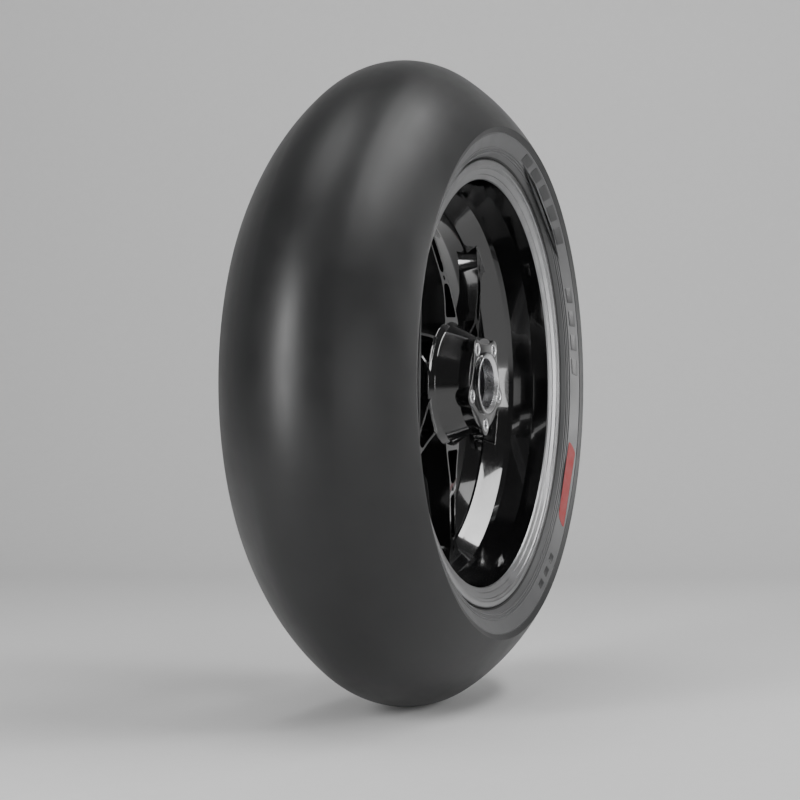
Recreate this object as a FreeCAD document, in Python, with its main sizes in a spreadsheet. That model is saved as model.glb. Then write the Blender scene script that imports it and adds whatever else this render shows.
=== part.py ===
import FreeCAD, Part
import math
import os
import re
import Sketcher
from FreeCAD import Placement, Rotation, Vector

# Road-race rear wheel with its slick tyre, in millimetres.
# +Y is the axle, +Z is up, +X is forwards, and the origin is the wheel's centre.
# The brake-disc side is -Y and the sprocket side is +Y.

doc = FreeCAD.newDocument("RaceWheel")
sheet = doc.addObject("Spreadsheet::Sheet", "Sizes")

# ---------------------------------------------------------------- driving sizes

SIZES = [
    # Tyre, outside
    ("tyre_radius", 337.0, "axle to the crown of the tread"),
    ("tyre_half_width", 102.0, "centre plane to the tread edge, the widest point"),
    ("shoulder_drop", 73.0, "radius lost from the crown to the tread edge"),
    ("crown_curve", 80.0, "radius of the crown's arc"),
    ("crown_angle", 35.0, "half angle of the crown's arc, degrees"),
    # Tyre, layers
    ("tread_thickness", 8.0, "slick compound over the belt"),
    ("belt_thickness", 1.6, "zero-degree steel belt"),
    ("ply_thickness", 2.0, "carcass ply"),
    ("liner_thickness", 1.2, "airtight inner liner"),
    ("sidewall_thickness", 3.6, "rubber over the ply on the side"),
    ("edge_thickness", 6.0, "height of the tread's side at its edge"),
    ("bead_core_size", 7.0, "side of the bead's wire bundle"),
    ("bead_toe", 17.0, "bead's width on its seat"),
    ("chafer_thickness", 2.4, "rubber over the ply at the rim"),
    ("turn_up", 20.0, "height of the ply's turned-up end over the bead core"),
    ("rib_height", 0.9, "height of the sidewall's rim line"),
    # Rim
    ("bead_seat_radius", 218.3, "axle to the bead seat"),
    ("rim_half_width", 79.4, "centre plane to the flange's inner face"),
    ("flange_height", 14.0, "flange over the bead seat"),
    ("flange_thickness", 5.0, "flange, along the axle"),
    ("rim_wall", 7.3, "bead seat's wall"),
    ("seat_length", 19.0, "bead seat, along the axle"),
    ("hump_height", 0.8, "safety hump over the seat"),
    ("well_radius", 189.0, "axle to the inside of the drop centre"),
    ("well_wall", 4.5, "drop centre's wall"),
    ("well_half", 10.0, "half the flat of the drop centre"),
    ("step_foot", 16.0, "centre plane to the foot of the conical step"),
    ("step_rise", 4.0, "foot of the step over the drop centre"),
    ("crest_place", 34.0, "centre plane to the crest of the step"),
    ("crest_drop", 6.3, "crest under the inside of the bead seat"),
    ("lip_dish", 7.4, "depth of the lip's sloping face"),
    # Spokes
    ("spoke_count", 6.0, "spokes"),
    ("spoke_angle", 35.5, "first spoke at 100 mm radius, degrees above +X"),
    ("spoke_sweep", 0.115, "degrees of sweep for each millimetre of radius"),
    ("spoke_root_half", 17.0, "half width at the hub"),
    ("spoke_neck_half", 10.5, "half width where the arm leaves the hub"),
    ("spoke_tip_half", 8.5, "half width before the foot"),
    ("spoke_foot_half", 27.0, "half width of the foot inside the barrel's wall"),
    ("foot_height", 17.0, "height of the foot's flare"),
    ("spoke_front_root", 38.5, "front face at the hub, from the centre plane"),
    ("spoke_front_tip", 21.5, "front face at the barrel, from the centre plane"),
    ("spoke_back_root", 14.0, "back face at the hub, from the centre plane"),
    ("spoke_depth", 24.0, "depth of a spoke past its root"),
        ("spoke_rib", 3.8, "wall beside a spoke's pocket"),
    ("spoke_web", 6.0, "web between a spoke's front and back pockets"),
    ("bridge_radius", 116.0, "axle to the bridge between the pockets"),
    ("bridge_width", 7.0, "bridge between the pockets"),
    # Hub
    ("hub_radius", 64.0, "hub at the spokes"),
    ("hub_neck", 49.0, "hub behind the brake flange"),
    ("disc_face", 75.7, "brake flange's face, from the centre plane"),
    ("disc_flange", 14.0, "brake flange's thickness"),
    ("disc_lobe_radius", 54.0, "outer end of a brake flange's lobe"),
    ("disc_scallop_radius", 41.0, "bottom of the scallop between lobes"),
    ("disc_bolt_circle", 43.0, "axle to a disc bolt"),
    ("disc_bolt_hole", 4.2, "radius of a disc bolt's hole"),
    ("disc_bolts", 5.0, "disc bolts"),
    ("disc_bolt_angle", 54.0, "first disc bolt, degrees above +X"),
    ("boss_radius", 33.0, "boss that centres the disc"),
    ("boss_height", 3.3, "boss over the brake flange"),
    ("tube_radius", 21.0, "hub's bore between its bearings"),
    # Bearings, all three alike
    ("axle_radius", 12.5, "axle's bore"),
    ("bearing_radius", 26.0, "bearing's outside"),
    ("inner_land", 16.2, "inner ring's outside"),
    ("outer_land", 22.3, "outer ring's inside"),
    ("bearing_width", 15.0, "bearing's width"),
    ("ball_radius", 3.97, "ball"),
    ("ball_count", 9.0, "balls in a bearing"),
    ("ball_play", 0.05, "gap between a ball and its race"),
    ("seal_thickness", 1.2, "a bearing's seal"),
    ("seal_inset", 0.4, "a seal's face, in from the bearing's"),
    ("right_bearing_face", 62.0, "right bearing's outer face, from the centre plane"),
    ("left_bearing_face", 45.0, "left bearing's outer face, from the centre plane"),
    ("carrier_bearing_face", 74.0, "carrier bearing's outer face, from the centre plane"),
    ("spacer_wall", 3.5, "wall of the tube between the inner rings"),
    ("circlip_thickness", 1.5, "circlip"),
    ("circlip_depth", 2.0, "circlip's groove"),
    # Cush drive
    ("drum_radius", 70.0, "cush drum's outside"),
    ("drum_wall", 5.0, "cush drum's wall"),
    ("drum_floor", 18.0, "cush drum's floor, from the centre plane"),
    ("drum_rim", 46.0, "cush drum's open edge, from the centre plane"),
    ("drum_ribs", 5.0, "ribs in the drum, and vanes on the carrier"),
    ("rib_half_angle", 5.0, "half a drum rib, degrees"),
    ("vane_half_angle", 6.0, "half a carrier vane, degrees"),
    ("cush_travel", 2.5, "carrier's travel each way, degrees"),
    ("carrier_face", 66.0, "sprocket's seat on the carrier, from the centre plane"),
    ("carrier_plate", 10.0, "carrier's plate"),
    ("carrier_radius", 68.0, "carrier's outside"),
    ("stud_circle", 55.0, "axle to a sprocket stud"),
    ("stud_radius", 4.0, "sprocket stud's thread"),
    ("stud_shank", 5.0, "radius of the stud's end pressed into the plate"),
    ("stud_reach", 20.0, "stud standing out of the sprocket's seat"),
    # Valve and balance weights
    ("valve_angle", 196.0, "valve's place, degrees above +X"),
    ("valve_hole", 4.15, "radius of the valve's hole"),
    ("valve_reach", 16.0, "valve's elbow, inwards from the drop centre"),
    ("valve_arm", 30.0, "valve's arm, along the axle"),
    ("valve_thread", 4.0, "radius of the valve's threads"),
    ("core_radius", 2.5, "valve core"),
    ("pin_radius", 0.8, "valve core's pin"),
    ("pin_travel", 1.5, "valve pin's travel"),
    ("weight_angle", 16.0, "balance weights' place, degrees above +X"),
    ("weight_count", 4.0, "balance weights in a row"),
    ("weight_height", 4.0, "a balance weight's height"),
    ("weight_span", 5.5, "a balance weight's length, degrees"),
    ("weight_width", 15.0, "a balance weight, along the axle"),
    # Clearances
    ("gap", 0.3, "between pieces that move past each other"),
    ("seat_gap", 0.02, "round a pressed ring"),
    ("skin", 0.05, "between the tyre's moulded layers"),
]

# Sizes that follow from the driving ones.
DERIVED = [
    ("flange_radius", "bead_seat_radius + flange_height"),
    ("lip_plane", "rim_half_width + flange_thickness"),
    ("shoulder_radius", "tyre_radius - shoulder_drop"),
    ("seat_inside", "bead_seat_radius - rim_wall"),
    ("crest_radius", "seat_inside - crest_drop"),
    ("spoke_pitch", "360 / spoke_count"),
    ("disc_pitch", "360 / disc_bolts"),
    ("drum_pitch", "360 / drum_ribs"),
    ("boss_face", "disc_face + boss_height"),
    ("hub_edge", "hub_radius + 3"),
    ("drum_back", "spoke_back_root - 6"),
    ("pitch_radius", "(axle_radius + bearing_radius) / 2"),
    ("race_radius", "ball_radius + ball_play"),
    ("drum_inside", "drum_radius - drum_wall"),
]


def fill_sheet():
    """Write every size into the sheet: name, value and meaning."""
    for row, (alias, value, meaning) in enumerate(SIZES, 1):
        sheet.set(f"A{row}", alias)
        sheet.set(f"B{row}", str(value))
        sheet.setAlias(f"B{row}", alias)
        sheet.set(f"C{row}", meaning)
    for row, (alias, formula) in enumerate(DERIVED, len(SIZES) + 1):
        sheet.set(f"A{row}", alias)
        sheet.set(f"B{row}", "=" + formula)
        sheet.setAlias(f"B{row}", alias)
    doc.recompute()


fill_sheet()
NAMES = {row[0] for row in SIZES} | {row[0] for row in DERIVED}


def bound(text):
    """An expression in the sheet's names, as an object outside the sheet reads it."""
    return re.sub(r"[a-z_]+", lambda word: "Sizes." + word[0] if word[0] in NAMES else word[0], str(text))


def size(text):
    """The number that an expression in the sheet's names has now."""
    return float(sheet.evalExpression(str(text)))


# ---------------------------------------------------------------- sketch tools

def new_body(label):
    """An empty body for one sub-part; its Label names the sub-part's file."""
    body = doc.addObject("PartDesign::Body", label)
    body.Label = label
    return body


def origin_feature(body, role):
    """One of the body's own origin planes or axes."""
    return next(item for item in body.Origin.OriginFeatures if item.Role == role)


def new_sketch(body, role, name, offset="0"):
    """A sketch on one of the body's origin planes, moved along its normal by an expression."""
    sketch = body.newObject("Sketcher::SketchObject", name)
    sketch.AttachmentSupport = [(origin_feature(body, role), "")]
    sketch.MapMode = "FlatFace"
    sketch.setExpression("AttachmentOffset.Base.z", bound(offset))
    return sketch


def tie(sketch, kind, geometry, point, text):
    """Hold one coordinate of a point at an expression."""
    index = sketch.addConstraint(Sketcher.Constraint(kind, -1, 1, geometry, point, size(text)))
    sketch.setExpression(f"Constraints[{index}]", bound(text))


def place(sketch, geometry, point, corner):
    """Hold a point at a pair of expressions."""
    tie(sketch, "DistanceX", geometry, point, corner[0])
    tie(sketch, "DistanceY", geometry, point, corner[1])


def spot(corner):
    """A pair of expressions as a point in the sketch's plane."""
    return Vector(size(corner[0]), size(corner[1]), 0)


def outline(sketch, path):
    """Draw a closed outline. Each step is a corner, or ("arc", way point) before the next corner."""
    corners = [step for step in path if step[0] != "arc"]
    way_points = {}
    count = 0
    for step in path:
        if step[0] == "arc":
            way_points[count - 1] = step[1]
        else:
            count += 1
    edges = []
    for number, corner in enumerate(corners):
        start, end = spot(corner), spot(corners[(number + 1) % count])
        if number in way_points:
            middle = spot(way_points[number])
            arc = Part.Arc(start, middle, end)
            geometry = sketch.addGeometry(arc, False)
            across = (middle - start).cross(end - middle).z
            edges.append((geometry, 1, 2) if across > 0 else (geometry, 2, 1))
        else:
            geometry = sketch.addGeometry(Part.LineSegment(start, end), False)
            edges.append((geometry, 1, 2))
    for number, (geometry, first, last) in enumerate(edges):
        follower, follower_first, _ = edges[(number + 1) % count]
        sketch.addConstraint(Sketcher.Constraint("Coincident", geometry, last, follower, follower_first))
        place(sketch, geometry, first, corners[number])
        if number in way_points:
            mark = sketch.addGeometry(Part.Point(spot(way_points[number])), True)
            place(sketch, mark, 1, way_points[number])
            sketch.addConstraint(Sketcher.Constraint("PointOnObject", mark, 1, geometry))
    return sketch


def circle(sketch, centre, radius):
    """Draw a circle at a pair of expressions."""
    geometry = sketch.addGeometry(Part.Circle(spot(centre), Vector(0, 0, 1), size(radius)), False)
    place(sketch, geometry, 3, centre)
    index = sketch.addConstraint(Sketcher.Constraint("Radius", geometry, size(radius)))
    sketch.setExpression(f"Constraints[{index}]", bound(radius))
    return sketch


def turned(body, name, path):
    """Add a ring about the axle from its section, whose corners are (along the axle, radius)."""
    sketch = outline(new_sketch(body, "YZ_Plane", name + "Section"), path)
    feature = body.newObject("PartDesign::Revolution", name)
    feature.Profile = sketch
    feature.ReferenceAxis = (sketch, ["H_Axis"])
    feature.Angle = 360
    return feature


def grooved(body, name, path):
    """Cut a ring about the axle; the cut has to take something away."""
    before = solid_volume(body)
    sketch = outline(new_sketch(body, "YZ_Plane", name + "Section"), path)
    feature = body.newObject("PartDesign::Groove", name)
    feature.Profile = sketch
    feature.ReferenceAxis = (sketch, ["H_Axis"])
    feature.Angle = 360
    must_shrink(body, before, name)
    return feature


def padded(body, name, sketch, depth, backwards=False):
    """Pad a sketch by an expression."""
    feature = body.newObject("PartDesign::Pad", name)
    feature.Profile = sketch
    feature.Reversed = backwards
    feature.setExpression("Length", bound(depth))
    return feature


def pocketed(body, name, sketch, depth, backwards=False):
    """Cut a sketch by an expression; the cut has to take something away."""
    before = solid_volume(body)
    feature = body.newObject("PartDesign::Pocket", name)
    feature.Profile = sketch
    feature.Reversed = backwards
    feature.setExpression("Length", bound(depth))
    must_shrink(body, before, name)
    return feature


def patterned(body, name, features, count):
    """Repeat features evenly about the axle."""
    pattern = body.newObject("PartDesign::PolarPattern", name)
    pattern.Originals = features
    pattern.Axis = (origin_feature(body, "Y_Axis"), [""])
    pattern.Angle = 360
    pattern.setExpression("Occurrences", bound(count))
    body.Tip = pattern
    return pattern


def solid_volume(body):
    doc.recompute()
    return body.Shape.Volume


def must_shrink(body, before, name):
    """Stop if a cut pointed away from the solid."""
    if solid_volume(body) >= before - 1e-3:
        raise RuntimeError(f"{name} took nothing away")


def around(radius, angle, across="0"):
    """A point in the wheel's plane, as expressions: a radius, degrees above +X and a shift across."""
    return (
        f"({radius}) * cos({angle}) - ({across}) * sin({angle})",
        f"({radius}) * sin({angle}) + ({across}) * cos({angle})",
    )


def ring_path(low, high, inner, outer):
    """The section of a plain ring: two places along the axle and two radii."""
    return [(low, inner), (high, inner), (high, outer), (low, outer)]


# ---------------------------------------------------------------- tyre

def section_point(along, radius):
    """A point of a section through the axle: a place along the axle and a radius."""
    return Vector(0, along, radius)


def line(start, end):
    return Part.LineSegment(start, end).toShape()


def run_of_lines(points):
    return [line(start, end) for start, end in zip(points, points[1:])]


def bow(centre, radius, first, last):
    """An arc about a centre, between two angles from the vertical."""
    ways = [first, (first + last) / 2, last]
    points = [centre + radius * Vector(0, math.sin(way), math.cos(way)) for way in ways]
    return Part.Arc(*points).toShape()


def mitred(points, distance):
    """Points moved to the right of a run of straight lines, with mitred corners."""
    moved = []
    for number, point in enumerate(points):
        before = point - points[number - 1] if number else points[1] - point
        after = points[number + 1] - point if number + 1 < len(points) else before
        sides = [Vector(0, way.z, -way.y).normalize() for way in (before, after)]
        middle = sides[0] + sides[1]
        moved.append(point + middle * (2 * distance / middle.Length ** 2))
    return moved


def both_sides(edges):
    """The edges of one side and their mirror images."""
    return edges + [edge.mirror(Vector(), Vector(0, 1, 0)) for edge in edges]


def ring_of(edges):
    """Turn a closed section about the axle."""
    face = Part.Face(Part.Wire(Part.__sortEdges__(edges)))
    ring = face.revolve(Vector(), Vector(0, 1, 0), 360)
    return ring if ring.Volume > 0 else ring.reversed()


class TyreSection:
    """The right-hand half of the tyre's section, from the sheet's sizes."""

    def __init__(self):
        self.crown_turn = math.radians(size("crown_angle"))
        crown_way = Vector(0, math.sin(self.crown_turn), math.cos(self.crown_turn))
        self.crown_radius = size("crown_curve")
        self.crown_centre = section_point(0, size("tyre_radius - crown_curve"))
        crown_end = self.crown_centre + crown_way * self.crown_radius
        self.edge = section_point(size("tyre_half_width"), size("shoulder_radius"))
        reach = self.edge - crown_end
        self.shoulder_curve = -reach.dot(reach) / (2 * reach.dot(crown_way))
        self.shoulder_centre = crown_end - crown_way * self.shoulder_curve
        edge_reach = self.edge - self.shoulder_centre
        self.edge_turn = math.atan2(edge_reach.y, edge_reach.z)
        self.foot = section_point(size("lip_plane + 4"), size("flange_radius + 5"))
        self.down = (self.foot - self.edge).normalize()
        self.inward = Vector(0, self.down.z, -self.down.y)
        self.tread_side = self.edge + self.down * size("edge_thickness")
        self.tread_turn = self.edge_turn - size("tread_thickness") / self.shoulder_curve
        self.belt_turn = self.tread_turn - 2 * size("belt_thickness") / self.shoulder_curve
        self.ply_depth = size("tread_thickness + belt_thickness + 2 * skin")

    def shoulder_point(self, depth, turn):
        way = Vector(0, math.sin(turn), math.cos(turn))
        return self.shoulder_centre + way * (self.shoulder_curve - depth)

    def crown(self, depth, turn):
        """Half of the surface at a depth under the tread, from the centre plane to a turn on the shoulder."""
        return [
            bow(self.crown_centre, self.crown_radius - depth, 0, self.crown_turn),
            bow(self.shoulder_centre, self.shoulder_curve - depth, self.crown_turn, turn),
        ]

    def side_curve(self, depth):
        """The ply's bend from the shoulder into the side, at a depth within the ply: turn, edges and end."""
        bend = size("sidewall_thickness") * 3
        start = self.edge + self.inward * (size("sidewall_thickness") + bend)
        reach = start - self.shoulder_centre
        limit = self.shoulder_curve - self.ply_depth - bend
        along = reach.dot(self.down)
        across = math.sqrt(along ** 2 - reach.dot(reach) + limit ** 2)
        centre = start - self.down * (across + along)
        out = centre - self.shoulder_centre
        turn = math.atan2(out.y, out.z)
        side_turn = math.atan2(-self.inward.y, -self.inward.z)
        bend_edge = bow(centre, bend - depth, turn, side_turn)
        return turn, bend_edge, centre - self.inward * (bend - depth)

    def ply_path(self):
        """The ply's outer face below its bend: down the side, round the bead core and up again."""
        core = size("bead_core_size")
        low = size("bead_seat_radius + chafer_thickness + ply_thickness + skin")
        outside = size("rim_half_width - chafer_thickness - ply_thickness - 2 * skin")
        bend_end = self.side_curve(0)[2]
        over = section_point(outside - core, low + core)
        rise = size("turn_up")
        shoulder = bend_end + self.down * (bend_end.z - low - core - rise) * 0.9
        around_core = [
            over,
            section_point(outside - core, low),
            section_point(outside, low),
            section_point(outside, low + core),
        ]
        climb = (shoulder - over) * (rise / (shoulder.z - over.z)) * 0.8
        tip = over + climb + section_point(size("ply_thickness") * 0.4, 0)
        return [bend_end, shoulder] + around_core + [tip]

    def filler_corners(self):
        path = self.ply_path()
        tip = path[6] - (path[6] - path[5]) * 0.06
        lift = section_point(0, size("skin"))
        return [path[2] + lift, path[5] + lift, tip]


tyre = TyreSection()


def laminate(label, shape):
    """A sub-part whose curved section only Part's own functions can draw."""
    piece = doc.addObject("Part::Feature", label)
    piece.Label = label
    piece.Shape = shape
    piece.Placement = Placement()
    return piece


def make_tread():
    """The slick compound, a crowned band with sharp edges."""
    depth = size("tread_thickness")
    under = tyre.shoulder_point(depth, tyre.tread_turn)
    edges = tyre.crown(0, tyre.edge_turn) + tyre.crown(depth, tyre.tread_turn)
    edges += run_of_lines([tyre.edge, tyre.tread_side, under])
    return laminate("tread_cap", ring_of(both_sides(edges)))


def make_belt():
    """The zero-degree steel belt under the tread."""
    top = size("tread_thickness + skin")
    bottom = top + size("belt_thickness")
    edges = tyre.crown(top, tyre.belt_turn) + tyre.crown(bottom, tyre.belt_turn)
    ends = [tyre.shoulder_point(depth, tyre.belt_turn) for depth in (top, bottom)]
    return laminate("steel_belt", ring_of(both_sides(edges + [line(*ends)])))


def make_carcass():
    """The ply, from bead to bead, wrapped round both bead cores."""
    thickness = size("ply_thickness")
    turn, outer_bend, _ = tyre.side_curve(0)
    _, inner_bend, inner_end = tyre.side_curve(thickness)
    outer = tyre.ply_path()
    inner = mitred(outer, thickness)
    inner[0] = inner_end
    edges = tyre.crown(tyre.ply_depth, turn) + [outer_bend] + run_of_lines(outer)
    edges += tyre.crown(tyre.ply_depth + thickness, turn) + [inner_bend] + run_of_lines(inner)
    edges.append(line(outer[-1], inner[-1]))
    return laminate("carcass_ply", ring_of(both_sides(edges)))


def make_liner():
    """The airtight layer inside the ply, down to the bead cores."""
    outside = size("ply_thickness + skin")
    inside = outside + size("liner_thickness")
    turn, outer_bend, outer_end = tyre.side_curve(outside)
    _, inner_bend, inner_end = tyre.side_curve(inside)
    path = tyre.ply_path()[:3]
    outer = mitred(path, outside)
    inner = mitred(path, inside)
    outer[0], inner[0] = outer_end, inner_end
    outer[2] = outer[1] + (outer[2] - outer[1]) * 0.9
    inner[2] = inner[1] + (inner[2] - inner[1]) * 0.9
    edges = tyre.crown(tyre.ply_depth + outside, turn) + [outer_bend] + run_of_lines(outer)
    edges += tyre.crown(tyre.ply_depth + inside, turn) + [inner_bend] + run_of_lines(inner)
    edges.append(line(outer[-1], inner[-1]))
    return laminate("inner_liner", ring_of(both_sides(edges)))


def side_piece(name, side, edges):
    """A ring on one side of the tyre; the left is the mirror image of the right."""
    ring = ring_of(edges)
    if side == "right":
        ring = ring.mirror(Vector(), Vector(0, 1, 0))
    return laminate(f"{name}_{side}", ring)


def chafer_line():
    """Where the chafer meets the sidewall: on the tyre's outside, and on the turned-up ply."""
    outer = mitred(tyre.ply_path(), size("ply_thickness + skin"))
    low = size("flange_radius + 1.5")
    share = (low - outer[5].z) / (outer[6].z - outer[5].z)
    on_ply = outer[5] + (outer[6] - outer[5]) * share
    groove = section_point(size("rim_half_width + flange_thickness / 2"), size("flange_radius + gap"))
    on_outside = groove + (tyre.foot - groove) * 0.4
    return on_outside, on_ply, groove, outer


def make_sidewall(side):
    """The flank's rubber, from the tread's edge to the chafer, with two low rim lines."""
    skin = size("skin")
    on_outside, on_ply, _, wrapped = chafer_line()
    turn, bend_edge, bend_end = tyre.side_curve(-skin)
    top = tyre.tread_side + tyre.down * skin
    under = tyre.shoulder_point(size("tread_thickness + skin"), tyre.tread_turn)
    belt_end = tyre.belt_turn + 2 * skin / tyre.shoulder_curve
    tread_under = size("tread_thickness + skin")
    beside_belt = [tyre.shoulder_point(depth, belt_end) for depth in (tread_under, tyre.ply_depth - skin)]
    outside = [top]
    height = size("rib_height")
    reach = (tyre.foot - top).Length
    for share in (0.72, 0.88):
        rib = top + tyre.down * reach * share
        outside += [rib, rib + tyre.down * height - tyre.inward * height]
        outside += [rib + tyre.down * 2.5 * height - tyre.inward * height, rib + tyre.down * 3.5 * height]
    outside += [tyre.foot, on_outside]
    path = mitred(tyre.ply_path(), -skin)
    path[0] = bend_end
    lift = (wrapped[6] - wrapped[5]).normalize() * 2 * skin
    tip = [wrapped[6] + lift, tyre.ply_path()[6] + lift]
    share = (tip[1].z - path[1].z) / (path[2].z - path[1].z)
    beside_tip = path[1] + (path[2] - path[1]) * share
    inside = [on_ply] + tip + [beside_tip, path[1], path[0]]
    edges = run_of_lines(outside + inside) + [bend_edge]
    curve = tyre.shoulder_curve
    edges.append(bow(tyre.shoulder_centre, curve - tyre.ply_depth + skin, belt_end, turn))
    edges += run_of_lines(beside_belt[::-1])
    edges.append(bow(tyre.shoulder_centre, curve - tread_under, belt_end, tyre.tread_turn))
    edges.append(line(under, top))
    return side_piece("sidewall", side, edges)


def make_chafer(side):
    """The tough strip that the rim rubs, wrapped round the foot of the tyre."""
    skin = size("skin")
    on_outside, on_ply, groove, wrapped = chafer_line()
    seat = size("bead_seat_radius") + skin
    heel = size("rim_half_width") - skin
    toe = size("rim_half_width - bead_toe")
    flange_foot = size("flange_radius - flange_thickness / 2")
    lift = skin / 2
    outside = [on_outside + tyre.down * lift, groove]
    shoulder_way = section_point(heel - skin * 2, flange_foot)
    easing = size("flange_thickness") * 0.15
    middle = section_point((heel + groove.y) / 2 - easing, (flange_foot + groove.z) / 2 + easing)
    edges = [line(*outside), Part.Arc(groove, middle, shoulder_way).toShape()]
    inner_top = wrapped[2] + section_point(0, size("ply_thickness"))
    points = [
        shoulder_way,
        section_point(heel, flange_foot - size("flange_thickness") / 2),
        section_point(heel, seat),
        section_point(toe + 1, seat),
        section_point(toe, seat + 1),
        section_point(inner_top.y - size("chafer_thickness") * 0.6, inner_top.z),
        inner_top,
        wrapped[3],
        wrapped[4],
        wrapped[5],
        on_ply - (wrapped[6] - wrapped[5]).normalize() * lift,
        outside[0],
    ]
    return side_piece("chafer", side, edges + run_of_lines(points))


def make_bead_core(side):
    """The bundle of bead wires."""
    skin = size("skin")
    corners = mitred(tyre.ply_path(), -skin)[2:6]
    corners[0] = section_point(corners[1].y, tyre.ply_path()[2].z - skin)
    corners[3] = section_point(corners[2].y, corners[0].z)
    return side_piece("bead_core", side, run_of_lines(corners + corners[:1]))


def make_bead_filler(side):
    """The hard rubber wedge on the bead core."""
    skin = size("skin")
    low_in, low_out, tip = tyre.filler_corners()
    corners = [low_in + section_point(3 * skin, 0), low_out - section_point(3 * skin, 0), tip]
    return side_piece("bead_filler", side, run_of_lines(corners + corners[:1]))


make_tread()
make_belt()
make_carcass()
make_liner()
for flank in ("left", "right"):
    make_sidewall(flank)
    make_chafer(flank)
    make_bead_core(flank)
    make_bead_filler(flank)


# ---------------------------------------------------------------- wheel

def rim_section():
    """The rim's section: the tyre's side from the left lip to the right one, then back along the inside."""
    def half(sign):
        """One side's corners, from the drop centre to the lip, outside and inside."""
        outside = [
            (f"{sign}(well_half)", "well_radius + well_wall"),
            (f"{sign}(step_foot + 6)", "well_radius + well_wall + step_rise"),
            (f"{sign}(crest_place + 5)", "crest_radius + well_wall + 2"),
            (f"{sign}(rim_half_width - seat_length - 8)", "bead_seat_radius - 1.5"),
            (f"{sign}(rim_half_width - seat_length - 3)", "bead_seat_radius + hump_height"),
            (f"{sign}(rim_half_width - seat_length)", "bead_seat_radius"),
            (f"{sign}rim_half_width", "bead_seat_radius"),
            (f"{sign}rim_half_width", "flange_radius - flange_thickness / 2"),
        ]
        top = ("arc", (f"{sign}(rim_half_width + flange_thickness / 2)", "flange_radius"))
        inside = [
            (f"{sign}lip_plane", "flange_radius - flange_thickness / 2"),
            (f"{sign}lip_plane", "flange_radius - flange_thickness - 1.5"),
            (f"{sign}(lip_plane - 1)", "flange_radius - flange_thickness - 2.5"),
            (f"{sign}(lip_plane - lip_dish)", "seat_inside"),
            (f"{sign}(crest_place + 3)", "crest_radius + 0.4"),
        ]
        crest = ("arc", (f"{sign}(crest_place + 0.4)", "crest_radius - 0.3"))
        foot = [
            (f"{sign}(crest_place - 2)", "crest_radius - 1.6"),
            (f"{sign}step_foot", "well_radius + step_rise"),
            (f"{sign}(well_half)", "well_radius"),
        ]
        return outside + [top] + inside + [crest] + foot
    left = half("")
    right = half("-1 * ")
    outside, inside = left[:8], left[8:]
    path = list(reversed(right[:8])) + outside + inside
    return path + list(reversed(right[9:])) + [right[8]]


def spoke_edge(radius, half_width):
    """A point on a spoke's edge, as expressions, swept back as the radius grows."""
    return around(radius, f"spoke_angle + spoke_sweep * (({radius}) - 100)", half_width)


def spoke_outline(root, neck, tip, foot):
    """A spoke's outline between four radii: wide at its root, narrow in the middle and flared at its foot."""
    upper = f"(({root}) + ({neck})) / 2"
    lower = f"(({neck}) + ({tip})) / 2"
    flare = f"({tip}) + foot_height * 0.62"

    def side(sign):
        return [
            spoke_edge(root, f"{sign} * spoke_root_half"),
            ("arc", spoke_edge(upper, f"{sign} * (spoke_neck_half + 1.2)")),
            spoke_edge(neck, f"{sign} * spoke_neck_half"),
            ("arc", spoke_edge(lower, f"{sign} * ((spoke_neck_half + spoke_tip_half) / 2 - 0.6)")),
            spoke_edge(tip, f"{sign} * spoke_tip_half"),
            ("arc", spoke_edge(flare, f"{sign} * (spoke_tip_half * 0.7 + spoke_foot_half * 0.3)")),
            spoke_edge(foot, f"{sign} * spoke_foot_half"),
        ]
    return side(-1) + list(reversed(side(1)))


def make_rim():
    """The wheel's rim, with the valve's hole."""
    body = new_body("wheel_rim")
    turned(body, "Rim", rim_section())
    add_valve_hole(body)


def make_spokes():
    """The six swept spokes, trimmed where they grow out of the hub and into the rim."""
    body = new_body("wheel_spokes")
    tip = "well_radius - foot_height"
    spoke = outline(
        new_sketch(body, "XZ_Plane", "SpokeOutline", "-drum_rim"),
        spoke_outline("hub_radius - 6", "hub_radius + 44", tip, "well_radius + 10"),
    )
    arm = padded(body, "Spoke", spoke, "drum_rim + disc_face")
    patterned(body, "Spokes", [arm], "spoke_count")
    outer = "well_radius + 16"
    grooved(body, "FrontFaces", [
        ("-spoke_front_root", "tube_radius"),
        ("-spoke_front_root", "hub_radius + 3"),
        ("-(spoke_front_root - 2.5)", "hub_radius + 42"),
        ("-spoke_front_tip", outer),
        ("-(disc_face + 10)", outer),
        ("-(disc_face + 10)", "tube_radius"),
    ])
    grooved(body, "BackFaces", [
        ("spoke_back_root", "tube_radius"),
        ("spoke_back_root", "hub_radius + 5"),
        ("-(spoke_front_root - 2.5 - spoke_depth)", "hub_radius + 42"),
        ("-(spoke_front_tip - spoke_depth)", outer),
        ("drum_rim + 10", outer),
        ("drum_rim + 10", "tube_radius"),
    ])
    add_pockets(body)
    grooved(body, "HubTrim", [
        ("-(disc_face + 10)", "10"),
        ("-(disc_face + 10)", "hub_edge + seat_gap"),
        ("drum_back - seat_gap", "hub_edge + seat_gap"),
        ("drum_back - seat_gap", "drum_radius + seat_gap"),
        ("drum_rim + 10", "drum_radius + seat_gap"),
        ("drum_rim + 10", "10"),
    ])
    grooved(body, "RimTrim", [
        ("-(crest_place - 2)", "crest_radius - 1.6 - seat_gap"),
        ("-1 * step_foot", "well_radius + step_rise - seat_gap"),
        ("-1 * well_half", "well_radius - seat_gap"),
        ("well_half", "well_radius - seat_gap"),
        ("step_foot", "well_radius + step_rise - seat_gap"),
        ("crest_place - 2", "crest_radius - 1.6 - seat_gap"),
        ("crest_place - 2", "tyre_radius"),
        ("-(crest_place - 2)", "tyre_radius"),
    ])
    return body


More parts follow.
